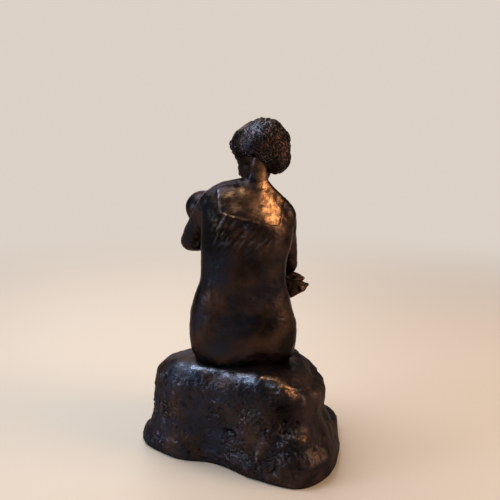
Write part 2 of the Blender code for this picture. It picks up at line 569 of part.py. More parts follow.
def cast(forms, collection, cutter):
    """One skin round all the forms, smoothed, thinned and cut flat underneath."""
    whole = bmesh.new()
    for form in forms:
        whole.from_mesh(form.data)
        bpy.data.objects.remove(form)
    mesh = bpy.data.meshes.new(NODE_NAME)
    whole.to_mesh(mesh)
    whole.free()
    mesh.materials.append(patina())
    casting = bpy.data.objects.new(NODE_NAME, mesh)
    collection.objects.link(casting)

    skin = casting.modifiers.new("skin", "REMESH")
    skin.mode = "VOXEL"
    skin.voxel_size = SKIN_VOXEL
    skin.use_smooth_shade = True
    soften = casting.modifiers.new("soften", "SMOOTH")
    soften.factor = 0.5
    soften.iterations = SMOOTH_PASSES
    thin = casting.modifiers.new("thin", "DECIMATE")
    thin.ratio = KEPT_SHARE
    underside = casting.modifiers.new("underside", "BOOLEAN")
    underside.operation = "DIFFERENCE"
    underside.object = cutter
    return casting


def main():
    clear_scene()
    forms = rock() + torso() + slip() + head() + arms() + legs() + skirt() + child()
    group = bpy.data.collections.new("Mother and child")
    cutters = bpy.data.collections.new("Cutters")
    for collection in (group, cutters):
        bpy.context.scene.collection.children.link(collection)
    cast(forms, group, floor_cutter(cutters))


main()
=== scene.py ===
"""Mother and child: a dark bronze group, cast in one with the rock that the mother sits on.

Her back is at +Y, her left side at +X, and the rock stands on the floor at z = 0. Metres, but for
the tables of small hills, which are in millimetres.
"""

import itertools
import math

import bpy
import numpy as np
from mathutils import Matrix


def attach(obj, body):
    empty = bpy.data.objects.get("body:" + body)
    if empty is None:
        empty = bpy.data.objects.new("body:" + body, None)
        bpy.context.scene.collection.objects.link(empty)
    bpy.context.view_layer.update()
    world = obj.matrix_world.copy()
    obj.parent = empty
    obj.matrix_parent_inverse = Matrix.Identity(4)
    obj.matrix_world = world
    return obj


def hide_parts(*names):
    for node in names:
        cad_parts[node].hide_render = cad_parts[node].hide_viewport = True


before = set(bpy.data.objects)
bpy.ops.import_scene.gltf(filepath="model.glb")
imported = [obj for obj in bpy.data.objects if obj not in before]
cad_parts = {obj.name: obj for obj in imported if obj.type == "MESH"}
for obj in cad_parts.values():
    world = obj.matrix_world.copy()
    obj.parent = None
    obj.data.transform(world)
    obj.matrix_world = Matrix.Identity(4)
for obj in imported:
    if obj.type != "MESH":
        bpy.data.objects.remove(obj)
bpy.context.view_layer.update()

# ----------------------------------------
# The rock. A lump of clay cut by hand and cast in bronze: a sharp worn edge along the top of the
# back, thumbed hollows and pits below it, a nose at her right and a low ledge in front for feet.
# ----------------------------------------

SEAT_HEIGHT = 0.085
ROCK_REACH = 0.1
ROCK_TOP_DROP = 0.01
LEDGE_HEIGHT = 0.013
ROCK_RISE = SEAT_HEIGHT - LEDGE_HEIGHT
ROCK_ANGLES = (-10, 15, 35, 60, 90, 118, 140, 165, 195, 220, 250, 290, 325)
ROCK_FOOT = (0.99, 0.68, 0.45, 0.41, 0.53, 0.8, 0.82, 0.78, 0.83, 1.03, 1.13, 1.12, 1.04)
ROCK_LEDGE = (0.96, 0.68, 0.45, 0.41, 0.52, 0.8, 0.82, 0.77, 0.81, 0.99, 1.09, 1.08, 1.0)
ROCK_WAIST = (0.91, 0.67, 0.46, 0.41, 0.5, 0.79, 0.81, 0.74, 0.74, 0.73, 0.66, 0.66, 0.8)
ROCK_MIDDLE = (0.86, 0.67, 0.465, 0.415, 0.48, 0.65, 0.67, 0.65, 0.65, 0.67, 0.63, 0.63, 0.75)
ROCK_SHOULDER = (0.85, 0.66, 0.465, 0.415, 0.46, 0.61, 0.65, 0.65, 0.65, 0.64, 0.61, 0.61, 0.71)
ROCK_RIM = (0.78, 0.62, 0.435, 0.395, 0.435, 0.57, 0.59, 0.55, 0.54, 0.57, 0.57, 0.57, 0.64)
ROCK_DROPS = (0.35, 0.85, 0.75, 0.7, 0.4, 0.5, 1.0, 1.05, 0.75, 0.2, 0.1, 0.1, 0.0)
ROCK_STEPS_AROUND = 39
ROCK_STEPS_UP = 18
MOST_TRIANGLES = 190000


def curve_through(keys, steps, closed=False):
    """Rows on a Catmull-Rom curve: between two key rows, the cubic that leaves each one parallel
    to the line joining its neighbours."""
    rows = np.array(keys, float)
    count = len(rows)
    spans = count if closed else count - 1
    t = np.arange(spans * steps + (0 if closed else 1)) / steps
    i = np.minimum(t.astype(int), spans - 1)
    u = (t - i)[:, None]

    def row(k):
        return rows[k % count] if closed else rows[np.clip(k, 0, count - 1)]

    a, b, c, d = row(i - 1), row(i), row(i + 1), row(i + 2)
    square, cube = 2 * a - 5 * b + 4 * c - d, 3 * b - a - 3 * c + d
    return 0.5 * (2 * b + (c - a) * u + square * u**2 + cube * u**3)


def solid(rings):
    """A closed form from a grid of rings: quads between neighbours, and a flat face on each end."""
    count, around = rings.shape[:2]
    index = np.arange(count * around).reshape(count, around)
    ahead = np.roll(index, -1, axis=1)
    quads = np.stack([index[:-1], ahead[:-1], ahead[1:], index[1:]], axis=-1).reshape(-1, 4)
    return rings.reshape(-1, 3), quads, [index[0][::-1], index[-1]]


def mesh_of(name, points, quads, ends=()):
    """A Blender mesh of the points, the quads and any larger end faces."""
    corners = np.concatenate([quads.ravel(), *ends]).astype(np.int32)
    sizes = np.concatenate([np.full(len(quads), 4), [len(end) for end in ends]]).astype(np.int32)
    mesh = bpy.data.meshes.new(name)
    mesh.vertices.add(len(points))
    mesh.vertices.foreach_set("co", points.astype(np.float32).ravel())
    mesh.loops.add(len(corners))
    mesh.loops.foreach_set("vertex_index", corners)
    mesh.polygons.add(len(sizes))
    mesh.polygons.foreach_set("loop_start", (np.cumsum(sizes) - sizes).astype(np.int32))
    mesh.polygons.foreach_set("loop_total", sizes)
    mesh.update(calc_edges=True)
    mesh.validate()
    return mesh


def outward(points, quads):
    """The way out at each point: the mean of the cross products of its faces' diagonals."""
    a, b, c, d = points[quads.T]
    face = np.cross(c - a, d - b)
    total = [np.bincount(quads.ravel(), np.repeat(face[:, k], 4), len(points)) for k in range(3)]
    total = np.stack(total, axis=1)
    return total / np.maximum(np.linalg.norm(total, axis=1, keepdims=True), 1e-12)


def pairs_of(quads):
    """Each edge of the quads once, as two point numbers."""
    edges = np.concatenate([quads[:, [k, (k + 1) % 4]] for k in range(4)])
    return np.unique(np.sort(edges, axis=1), axis=0)


def middle_of_neighbours(points, edges):
    """For each point, the mean place of the points that its edges lead to."""
    here, there = edges.ravel(), edges[:, ::-1].ravel()
    share = np.maximum(np.bincount(here, minlength=len(points)), 1)
    total = [np.bincount(here, points[there, k], len(points)) for k in range(3)]
    return np.stack([along / share for along in total], axis=1)


def smoothed(points, edges, passes, share=0.5):
    """Each pass moves every point a share of the way to the middle of its neighbours."""
    for _ in range(passes):
        points = points + share * (middle_of_neighbours(points, edges) - points)
    return points


SLOPES = np.random.default_rng(11).normal(size=(512, 3))
SLOPES /= np.linalg.norm(SLOPES, axis=1, keepdims=True)


def lumps(points, size, seed=0):
    """Gradient noise, about -1 to 1: every corner of a grid of cubes, size across, has its own
    fixed slope, and between corners their heights blend by a curve that is flat at both ends."""
    place = points / size + 19.7 * (seed + 1)
    cell = np.floor(place).astype(np.int64)
    part = place - cell
    blend = part**3 * (part * (part * 6 - 15) + 10)
    total = np.zeros(len(points))
    for corner in itertools.product((0, 1), repeat=3):
        key = (cell + corner) @ np.array((73856093, 19349663, 83492791))
        key = (key ^ (key >> 15)) * 2654435761
        slope = SLOPES[((key >> 11) % 512).astype(int)]
        weight = np.where(corner, blend, 1 - blend).prod(axis=1)
        total += weight * ((part - corner) * slope).sum(axis=1)
    return 1.7 * total


def broken(points, size, seed=0, layers=3):
    """Lumps, with finer and lower lumps laid on them: each layer half the size of the last."""
    return sum(lumps(points, size / 2**k, seed + k) / 2**k for k in range(layers))


def ramp(value, low, high):
    """0 below low, 1 above high, and a curve flat at both ends between."""
    t = np.clip((value - low) / (high - low), 0, 1)
    return t * t * (3 - 2 * t)


def bell(value, width):
    """1 where the value is 0, and less the further it is from that, by the square's exponential."""
    return np.exp(-((value / width) ** 2))


def relief(points, places):
    """The sum of rounded hills, or hollows, that fall off as bells. Each has its x, y and z, its
    radius sideways and its radius upwards in millimetres, and then its height."""
    total = np.zeros(len(points))
    for x, y, z, across, tall, height in places:
        away = (1000 * points - (x, y, z)) / (across, across, tall)
        total += height * np.exp(-(away**2).sum(axis=1))
    return total


def pushed(points, way, height):
    """The points moved along way, each by its own height."""
    return points + way * height[:, None]


def waves(points, length):
    """Slow lumps of about one length: seven plane waves in scattered directions, added up."""
    n = np.arange(1, 8)
    lean = np.cos(2.4 * n) * 0.9
    flat = np.sqrt(1 - lean**2)
    ways = np.stack([flat * np.cos(2.399963 * n), flat * np.sin(2.399963 * n), lean])
    turn = points @ ways * (2 * math.pi / length) * (1 + 0.11 * n)
    return np.sin(turn + 1.7 * n).sum(axis=-1) / 4


def curvature(points, quads, edges, passes):
    """How far each point stands out of the surface smoothed round it: ridges are above 0."""
    return ((points - smoothed(points, edges, passes)) * outward(points, quads)).sum(axis=1)


DARK_BROWN = (0.01, 0.0064, 0.0056, 1)
RED_BROWN = (0.05, 0.0262, 0.0172, 1)
BLUE_BLACK = (0.017, 0.0185, 0.031, 1)
RUBBED_GOLD_AND_WARM_HIGHLIGHT = (0.66, 0.34, 0.165, 1)
PAINTED_COOL_HIGHLIGHT = (0.27, 0.32, 0.43, 1)
PATINA_AND_SHADE_BLACK = (0.003, 0.0026, 0.0028, 1)


def connect(tree, node, inputs):
    """Give each named input its number or colour, or a link from another node's output."""
    for name, value in inputs.items():
        if isinstance(value, bpy.types.NodeSocket):
            tree.links.new(value, node.inputs[name])
        else:
            node.inputs[name].default_value = value


def add_node(tree, kind, inputs, **settings):
    """The outputs of a new shader node of that kind, with its settings and inputs."""
    node = tree.nodes.new("ShaderNode" + kind)
    for name, value in settings.items():
        setattr(node, name, value)
    connect(tree, node, inputs)
    return node.outputs


def bronze():
    """Old dark bronze under wax: brown-black with redder and bluer clouds, the bluer ones stronger
    on her left as a painted cast of the cool light from that side. The mesh's painted values say
    where it is rubbed gold, which along the rock's rim is also a painted warm highlight; where a
    cool highlight is painted; where it is black, from patina in its hollows and from painted shade;
    and where it has lost its shine."""
    material = bpy.data.materials.new("waxed_dark_bronze")
    material.use_nodes = True
    tree = material.node_tree
    place = add_node(tree, "TexCoord", {})["Object"]

    def noise(size, detail=4.0, turned=(0, 0, 0), stretch=(1, 1, 1)):
        at = {"Vector": place, "Rotation": turned, "Scale": stretch}
        at = add_node(tree, "Mapping", at)["Vector"]
        grain = {"Vector": at, "Scale": 1 / size, "Detail": detail}
        return add_node(tree, "TexNoise", grain)["Fac"]

    def scaled(value, low, high, to_low=0.0, to_high=1.0):
        ends = {"From Min": low, "From Max": high, "To Min": to_low, "To Max": to_high}
        return add_node(tree, "MapRange", {"Value": value, **ends})["Result"]

    def mixed(share, first, second):
        inputs = {"Factor": share, "A": first, "B": second}
        return add_node(tree, "Mix", inputs, data_type="RGBA")["Result"]

    def maths(operation, first, second):
        return add_node(tree, "Math", {0: first, 1: second}, operation=operation)["Value"]

    def painted(name):
        return add_node(tree, "Attribute", {}, attribute_name=name)["Fac"]

    brown = mixed(scaled(noise(0.02), 0.38, 0.64), DARK_BROWN, RED_BROWN)
    # Bluer clouds weighted to her left (+x): a painted cast of the cool light from that side
    across = add_node(tree, "SeparateXYZ", {"Vector": place})["X"]
    cool_lit_side = scaled(across, -0.035, 0.035, 0.15, 1.0)
    clouds = scaled(noise(0.026, 4.0, (0.4, 0.2, 1.1), (1, 1.3, 1)), 0.4, 0.62)
    blued = mixed(maths("MULTIPLY", clouds, cool_lit_side), brown, BLUE_BLACK)
    # Rubbed gold where the bronze is worn; along the rock's rim the same gold is also a painted
    # highlight of the warm lamp
    patches = scaled(noise(0.0045, 6.0), 0.36, 0.6, 0.3, 1.0)
    warm = mixed(maths("MULTIPLY", painted("worn"), patches), blued, RUBBED_GOLD_AND_WARM_HIGHLIGHT)
    # Painted highlight: a blue-white colour for the cool lamps' reflections, broken into specks
    specks = scaled(noise(0.0016, 3.0), 0.38, 0.6, 0.3, 1.0)
    shone = mixed(maths("MULTIPLY", painted("polish"), specks), warm, PAINTED_COOL_HIGHLIGHT)

    rough = scaled(noise(0.005), 0.35, 0.65, 0.27, 0.42)
    for name, share in (("deep", 0.22), ("matte", 0.2)):
        rough = maths("ADD", rough, maths("MULTIPLY", painted(name), share))

    strokes = noise(0.0028, 3.0, (0.5, 0.3, 0.9), (1, 1, 0.25))
    scratches = noise(0.0026, 3.0, (0.1, 0.0, 0.25), (0.45, 1, 1.6))
    grit = maths("MULTIPLY", strokes, 0.3)
    for grain, share in ((noise(0.0012, 3.0), 0.8), (scratches, 0.2)):
        grit = maths("ADD", grit, maths("MULTIPLY", grain, share))
    bump = {"Height": grit, "Strength": 0.6, "Distance": 0.00045}
    # The base colour goes black where painted deep: patina in hollows and creases, and painted
    # shade
    looks = {
        "Base Color": mixed(painted("deep"), shone, PATINA_AND_SHADE_BLACK),
        "Roughness": rough,
        "Metallic": 0.9,
        "Specular IOR Level": 0.25,
        "Specular Tint": (0.45, 0.42, 0.42, 1),
        "Coat Weight": 0.05,
        "Coat Roughness": 0.22,
        "Normal": add_node(tree, "Bump", bump)["Normal"],
    }
    connect(tree, tree.nodes["Principled BSDF"], looks)
    return material


BRONZE = bronze()


def applied(piece):
    """The mesh that an object's modifiers make of it."""
    graph = bpy.context.evaluated_depsgraph_get()
    return bpy.data.meshes.new_from_object(piece.evaluated_get(graph))


def linked(name, data):
    """A new object of that mesh, lamp or camera, in the scene."""
    made = bpy.data.objects.new(name, data)
    bpy.context.scene.collection.objects.link(made)
    return made


def cast(name, points, quads, ends, **paint):
    """One finished piece of the casting: its mesh, the four values painted on it for the bronze,
    and its place in the frame. Where it has too many triangles, the flattest parts are thinned."""
    mesh = mesh_of(name, points, quads, ends)
    for label in ("worn", "deep", "polish", "matte"):
        layer = mesh.attributes.new(label, "FLOAT", "POINT")
        values = np.clip(np.broadcast_to(paint.get(label, 0.0), len(points)), 0, 1)
        layer.data.foreach_set("value", values.astype(np.float32))
    mesh.polygons.foreach_set("use_smooth", np.ones(len(mesh.polygons), bool))
    mesh.materials.append(BRONZE)
    piece = linked(name, mesh)
    if 2 * len(quads) > MOST_TRIANGLES:
        thin = piece.modifiers.new("thin", "DECIMATE")
        thin.ratio = MOST_TRIANGLES / (2 * len(quads))
        thinned = applied(piece)
        piece.modifiers.clear()
        piece.data = thinned
        bpy.data.meshes.remove(mesh)
    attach(piece, "root")
    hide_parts("mother_and_child")


def evenly(rings):
    """The same surface with its rings at equal steps along the mean length of its columns."""
    step = np.linalg.norm(np.diff(rings, axis=0), axis=2).mean(axis=1)
    along = np.concatenate([[0], np.cumsum(step)])
    even = np.linspace(0, along[-1], len(rings))
    i = np.clip(np.searchsorted(along, even, side="right") - 1, 0, len(step) - 1)
    u = ((even - along[i]) / step[i])[:, None, None]
    return rings[i] * (1 - u) + rings[i + 1] * u


def rock_rings():
    """Round each level of the rock, its radius at each angle; up the levels, a smooth curve."""
    angles = np.radians(ROCK_ANGLES)
    ways = np.stack([np.cos(angles), np.sin(angles)], axis=1)
    rim = np.array(ROCK_RIM)
    levels = (
        (0.0, np.array(ROCK_FOOT) - 0.015, 0),
        (0.15 * LEDGE_HEIGHT, np.array(ROCK_FOOT) - 0.003, 0),
        (0.55 * LEDGE_HEIGHT, ROCK_FOOT, 0),
        (LEDGE_HEIGHT, ROCK_LEDGE, 0),
        (LEDGE_HEIGHT + 0.1 * ROCK_RISE, ROCK_WAIST, 0),
        (LEDGE_HEIGHT + 0.42 * ROCK_RISE, ROCK_MIDDLE, 0.4),
        (LEDGE_HEIGHT + 0.8 * ROCK_RISE, ROCK_SHOULDER, 0.8),
        (LEDGE_HEIGHT + 0.935 * ROCK_RISE, rim + 0.004, 1),
        (LEDGE_HEIGHT + 0.962 * ROCK_RISE, rim - 0.012, 0.97),
        (SEAT_HEIGHT, rim * 0.8, 0.3),
        (SEAT_HEIGHT + 0.001, rim * 0.4, 0.1),
    )
    rings = []
    for height, shares, dropped in levels:
        tops = height - dropped * ROCK_TOP_DROP * np.array(ROCK_DROPS)
        outline = ways * (ROCK_REACH * np.array(shares))[:, None]
        keys = np.column_stack([outline, tops])
        rings.append(curve_through(keys, ROCK_STEPS_AROUND, closed=True))
    rings = curve_through(np.array(rings).reshape(len(levels), -1), ROCK_STEPS_UP)
    rings = evenly(rings.reshape(len(rings), -1, 3))
    rings[..., 2] = np.maximum(rings[..., 2], 0)
    return rings


# The forms thumbed into the clay, in millimetres: x, y, z, radius sideways and upwards, height
ROCK_FORMS = (
    (-27, 53, 52, 12, 14, -7),
    (-30, 52, 45, 7.5, 6.5, -2.8),
    (-15, 52, 66, 10, 8, 2.2),
    (-42.5, 48, 56, 6.5, 19, 3.4),
    (-40, 58, 36, 12, 5.5, 3),
    (-31, 56, 39, 6, 4, 1.2),
    (-10.5, 42.5, 80.5, 4.8, 4.2, 3),
    (-18.5, 44, 80, 5.5, 3.4, 2),
    (-27, 47.5, 76.5, 5, 3.4, 1.6),
    (-19, 50, 75.5, 5.2, 4, -1.4),
    (4, 44, 60, 9, 11, -3.6),
    (-13, 53, 30, 5, 6, 2.2),
    (-6, 55, 17, 5, 9, 2.6),
    (-19, 60, 18, 5.5, 8, -3),
    (15, 39, 30, 11, 9, -2.6),
    (73.5, 9, 38, 5, 10, -2.4),
    (74.5, 7, 66, 4.5, 6, -1.4),
    (-64, 26, 48, 8, 6, -3),
    (60, -33, 50, 15, 15, -4.5),
    (-62, -30, 48, 14, 16, -4.5),
    (76, -18, 30, 8, 12, 2.8),
    (-65, -6, 30, 9, 14, 2.8),
)
# Small pits, thumb dents and pellets of clay, in the same order
ROCK_MARKS = (
    (30, 26.4, 51.2, 1.4, 2.8, -1.9),
    (34, 25.5, 52, 2, 2, 0.7),
    (37.5, 24, 30, 2.4, 4.5, -1.6),
    (20, 36.5, 33, 4.6, 1.8, -2.1),
    (23.5, 34.5, 24, 3, 2.2, 1),
    (81.9, 1.9, 16.1, 1.8, 1.8, 1.2),
    (77.5, 7.5, 10.5, 1.8, 1.8, 1),
    (40, 22.9, 12.2, 1.6, 1.4, 1.2),
    (52, 22.5, 8.5, 2.2, 1.6, -1.2),
    (38, 25, 4, 3.5, 1.2, -1.2),
    (-60, 36, 27, 1.1, 3, -2.4),
    (-19, 50.5, 58.5, 1.6, 1.6, 0.8),
    (-13, 50, 52, 2.2, 1.4, 0.8),
    (-8, 48, 56, 1.8, 1.4, -0.9),
    (-47, 35, 70, 1.2, 1.2, -1),
)

# In the same order with a strength at the end: where the rim is painted warm gold, partly as rubbed
# bronze and partly as a painted highlight of the warm lamp; where a cool highlight is painted along
# it; and painted shade in the hollows
ROCK_RUBBED_AND_WARM_LIT = (
    (-9.6, 44.7, 84.7, 3, 2.2, 0.7),
    (-14.4, 45.1, 84, 3.2, 2.2, 0.8),
    (-20, 45.8, 81.8, 3.6, 2.4, 1.0),
    (-25.6, 48.2, 78.5, 3.6, 2.4, 1.0),
    (-31.9, 49.7, 74, 3.6, 2.8, 0.9),
    (-35.9, 51.1, 69.5, 3, 3.4, 0.6),
    (-39, 58, 38.5, 9, 3.6, 0.08),
)
ROCK_PAINTED_HIGHLIGHTS = (
    (61.8, 6.5, 79.5, 5, 3, 0.5),
    (50.9, 13.8, 81.2, 6, 3, 0.8),
    (42.1, 17.4, 81.6, 5, 2.2, 0.4),
    (33.5, 21.4, 80.5, 5, 2.6, 0.5),
    (20.7, 28.4, 80.4, 5.5, 2.6, 0.7),
    (8.1, 36.8, 80.1, 6, 2.6, 0.9),
    (0, 40.5, 79.8, 5, 2.6, 0.9),
    (-14.4, 48.3, 80.2, 3, 2.4, 0.8),
    (-18.3, 49.2, 78, 2.8, 2.4, 0.9),
    (-22.3, 50.9, 75.3, 2.2, 2, 0.5),
)
ROCK_SHADED = (
    (-28, 49, 51, 10.5, 13, 0.75),
    (-24, 53, 64, 8, 6, 0.3),
    (3, 42.5, 69, 10, 5, 0.35),
    (-13, 48, 64, 6, 8, 0.2),
)


def carve_rock():
    """The rings, pushed out into the big forms, and then worked over: lumps and dabs of clay where
    it is rough, long drags of the tool, fine grit, and little of each where it was wiped smooth."""
    points, quads, ends = solid(rock_rings())
    edges = pairs_of(quads)
    flat = points * (1, 1, 0)
    flat /= np.maximum(np.linalg.norm(flat, axis=1, keepdims=True), 1e-9)
    above_floor = ramp(points[:, 2], 0, 0.004)
    points = pushed(points, flat, 0.0008 * waves(points, 0.03) * above_floor)
    thumbed = 0.001 * relief(points, ROCK_FORMS)
    points = pushed(points, outward(points, quads), thumbed * above_floor)
    points = points + (smoothed(points, edges, 3) - points) * above_floor[:, None]

    way = outward(points, quads)
    top = ramp(way[:, 2], 0.3, 0.62) * ramp(points[:, 2], 0.06, 0.068)
    flank = ramp(-points[:, 0], 0.034, 0.048) * (0.6 + 0.4 * ramp(points[:, 2], 0.025, 0.045))
    wiped = 0.85 * np.maximum(top, flank * ramp(points[:, 1], -0.02, 0.01))
    wiped = smoothed(np.column_stack([wiped, wiped, wiped]), edges, 10)[:, 0]
    dabbed = (0.3 + 0.7 * ramp(lumps(points, 0.021, 17), -0.25, 0.35)) * (1 - wiped)
    rough = 0.0009 * lumps(points, 0.0105, 3) * (1 - 0.5 * wiped)
    rough += 0.0004 * lumps(points, 0.0062, 9) * (1 - 0.7 * wiped)
    dabs = 0.0005 * ramp(lumps(points, 0.004, 31), 0.0, 0.5)
    dabs -= 0.001 * ramp(lumps(points, 0.0052, 21), 0.36, 0.8)
    drag = points @ np.array(((0.9, 0.2, -0.3), (0.1, 1, 0.1), (0.3, 0.1, 0.9)))
    drag = 0.00016 * lumps(drag * (0.3, 1, 1), 0.0026, 51) * (1 - 0.5 * wiped)
    fine = 0.00034 * lumps(points, 0.0023, 6) + 0.00022 * lumps(points, 0.0015, 5)
    fine = fine * (1 - 0.75 * wiped) * (0.4 + dabbed)
    height = rough + dabs * dabbed + drag + fine + 0.001 * relief(points, ROCK_MARKS)
    points = pushed(points, way, height * above_floor)
    points[:, 2] = np.maximum(points[:, 2], 0)

    broad = curvature(points, quads, edges, 40)
    close = curvature(points, quads, edges, 6)
    rim_rub_and_highlight = relief(points, ROCK_RUBBED_AND_WARM_LIT)
    polished = relief(points, ROCK_PAINTED_HIGHLIGHTS)
    shaded = relief(points, ROCK_SHADED)
    # Rubbed gold on the broad ridges, and the warm band along the rim, which is also a painted
    # highlight of the warm lamp
    worn = 0.12 * ramp(broad, 0.0002, 0.0016) + rim_rub_and_highlight * (0.3 + 0.7 * ramp(broad, 0.0, 0.001))
    grain = ramp(lumps(points * (0.35, 0.6, 1), 0.003, 57), -0.35, 0.3)
    # Painted glints: small highlights on the sharp ridges, broken up by grain, none where the
    # hollows are shaded
    glints = ramp(close, 0.0001, 0.0004) * grain * (1 - wiped) * (1 - np.minimum(shaded, 1))
    # Dark in creases and hollows: patina, and painted shade; ROCK_SHADED adds painted shade in the
    # big hollows
    deep = 0.7 * ramp(-close, 0.00004, 0.0003) + 0.5 * ramp(-broad, 0.0003, 0.0016) + shaded
    cast(
        "rock",
        points,
        quads,
        ends,
        worn=worn * ramp(points[:, 2], 0.004, 0.02),
        deep=deep,
        # Painted highlight along the rim and on the glints, and a faint even share of that colour
        # over the whole rock
        polish=polished * (0.35 + 0.65 * grain) + 0.18 * glints + 0.03,
        matte=0.3 + 0.7 * flank - polished - rim_rub_and_highlight,
    )


carve_rock()

# ----------------------------------------
# The mother's body, in one with her slip: a soft full back, bare above the low square neckline,
# where hands have rubbed the bronze golden. Cut in clay with a flat tool and smoothed by thumb.
# ----------------------------------------

SPINE_X = 0.006
HIP_HALF_WIDTH = 0.046
WAIST_HALF_WIDTH = 0.0362
CHEST_HALF_WIDTH = 0.0375
SHOULDER_HALF_WIDTH = 0.0335
HIP_HEIGHT = 0.027
WAIST_HEIGHT = 0.07
CHEST_HEIGHT = 0.105
SHOULDER_HEIGHT = 0.131
NECK_FOOT_HEIGHT = 0.1485
NECK_LENGTH = 0.0185
NECK_RADIUS = 0.0095
SHOULDER_SLOPE = 0.24
UPPER_ARM_LENGTH = 0.066
FOREARM_LENGTH = 0.053
BODY_VOXEL = 0.0008
FLANK_HEIGHT = 0.5 * (HIP_HEIGHT + WAIST_HEIGHT)
RIBS_HEIGHT = 0.5 * (WAIST_HEIGHT + CHEST_HEIGHT)
ARMPIT_HEIGHT = 0.4 * CHEST_HEIGHT + 0.6 * SHOULDER_HEIGHT
COLLAR_HEIGHT = SHOULDER_HEIGHT + 0.011
NECK_MIDDLE_HEIGHT = NECK_FOOT_HEIGHT + 0.4 * NECK_LENGTH
NECK_TOP_HEIGHT = NECK_FOOT_HEIGHT + NECK_LENGTH

# Height above the seat, centre x, centre y, half width, front depth, back depth, slope to her left
TRUNK_ROWS = (
    (-0.012, SPINE_X, -0.004, HIP_HALF_WIDTH * 0.70, 0.022, 0.020, 0),
    (0.006, SPINE_X, -0.003, HIP_HALF_WIDTH * 0.95, 0.028, 0.0285, 0),
    (HIP_HEIGHT, SPINE_X, -0.002, HIP_HALF_WIDTH, 0.030, 0.0315, 0),
    (FLANK_HEIGHT, SPINE_X + 0.001, 0, HIP_HALF_WIDTH * 0.92, 0.0265, 0.0275, 0),
    (WAIST_HEIGHT, SPINE_X, 0.001, WAIST_HALF_WIDTH, 0.0235, 0.0250, 0),
    (RIBS_HEIGHT, SPINE_X - 0.001, 0.001, WAIST_HALF_WIDTH * 1.005, 0.024, 0.0255, 0),
    (CHEST_HEIGHT, SPINE_X - 0.003, 0, CHEST_HALF_WIDTH, 0.025, 0.0265, 0.12),
    (ARMPIT_HEIGHT, SPINE_X - 0.004, 0, CHEST_HALF_WIDTH, 0.022, 0.0255, SHOULDER_SLOPE),
    (SHOULDER_HEIGHT, SPINE_X - 0.004, -0.001, SHOULDER_HALF_WIDTH, 0.018, 0.0215, SHOULDER_SLOPE),
    (COLLAR_HEIGHT, SPINE_X - 0.005, -0.002, 0.76 * SHOULDER_HALF_WIDTH, 0.014, 0.0165, 0.264),
    (NECK_FOOT_HEIGHT, SPINE_X - 0.009, -0.004, 1.50 * NECK_RADIUS, 0.0115, 0.0125, 0.19),
    (NECK_MIDDLE_HEIGHT, SPINE_X - 0.011, -0.006, NECK_RADIUS, NECK_RADIUS, 0.0100, 0),
    (NECK_TOP_HEIGHT, SPINE_X - 0.0125, -0.009, 0.98 * NECK_RADIUS, NECK_RADIUS, 0.0095, 0),
)


def turns(count):
    """That many equal angles in a full turn."""
    return np.linspace(0, 2 * math.pi, count, endpoint=False)


def superellipse(turn, power):
    """Across and deep, -1 to 1, round an oval, which is squarer the smaller the power: the cosine
    and the sine, each raised to the power and with its sign kept."""
    return [np.sign(wave) * np.abs(wave) ** power for wave in (np.cos(turn), np.sin(turn))]


def unit(way):
    """The same direction with a length of 1."""
    return np.array(way) / np.linalg.norm(way)


def place(x, y, above_seat):
    """A point given by its height above the seat."""
    return np.array((x, y, SEAT_HEIGHT + above_seat))


def trunk():
    """Superellipse sections up the spine, each with its own depth in front and behind, and sloped
    to her left by its own share of the width."""
    rows = curve_through(TRUNK_ROWS, 8)
    side, depth = superellipse(turns(96), 0.88)
    height, cx, cy, half, front, back, slope = (rows[:, k, None] for k in range(7))
    x = half * side
    y = np.where(depth > 0, back, front) * depth
    return solid(np.stack([cx + x, cy + y, SEAT_HEIGHT + height + slope * x], axis=-1))


def ball(centre, radii, turned=np.eye(3)):
    """An ellipsoid: circles of latitude, stretched to three radii along the axes of turned."""
    rise = np.radians(np.linspace(-87, 87, 25))[:, None]
    turn = turns(40)
    globe = [np.cos(rise) * np.cos(turn), np.cos(rise) * np.sin(turn), np.sin(rise) + 0 * turn]
    return solid(centre + (np.stack(globe, axis=-1) * radii) @ np.asarray(turned).T)


def limb(joints, radii, flat=1.0, across=None, steps=9):
    """A rounded limb: circles of changing radius along a smooth curve, squeezed by flat along
    across, with half a ball at each end."""
    rows = curve_through(np.column_stack([joints, radii]), steps)
    path, radius = rows[:, :3], rows[:, 3]
    ahead = np.gradient(path, axis=0)
    ahead /= np.linalg.norm(ahead, axis=1, keepdims=True)
    lean = np.radians(np.linspace(12, 86, 6))
    first = path[0] - ahead[0] * radius[0] * np.sin(lean[::-1, None])
    last = path[-1] + ahead[-1] * radius[-1] * np.sin(lean[:, None])
    path = np.concatenate([first, path, last])
    ahead = np.concatenate([np.repeat(ahead[:1], 6, 0), ahead, np.repeat(ahead[-1:], 6, 0)])
    radius = np.concatenate([radius[0] * np.cos(lean[::-1]), radius, radius[-1] * np.cos(lean)])
    if across is None:
        across = np.eye(3)[np.argmin(np.abs(path[-1] - path[0]))]
    side = np.cross(ahead, across)
    side /= np.linalg.norm(side, axis=1, keepdims=True)
    up = np.cross(side, ahead)
    turn = turns(28)[:, None]
    ring = np.cos(turn) * side[:, None] - flat * np.sin(turn) * up[:, None]
    return solid(path[:, None] + radius[:, None, None] * ring)


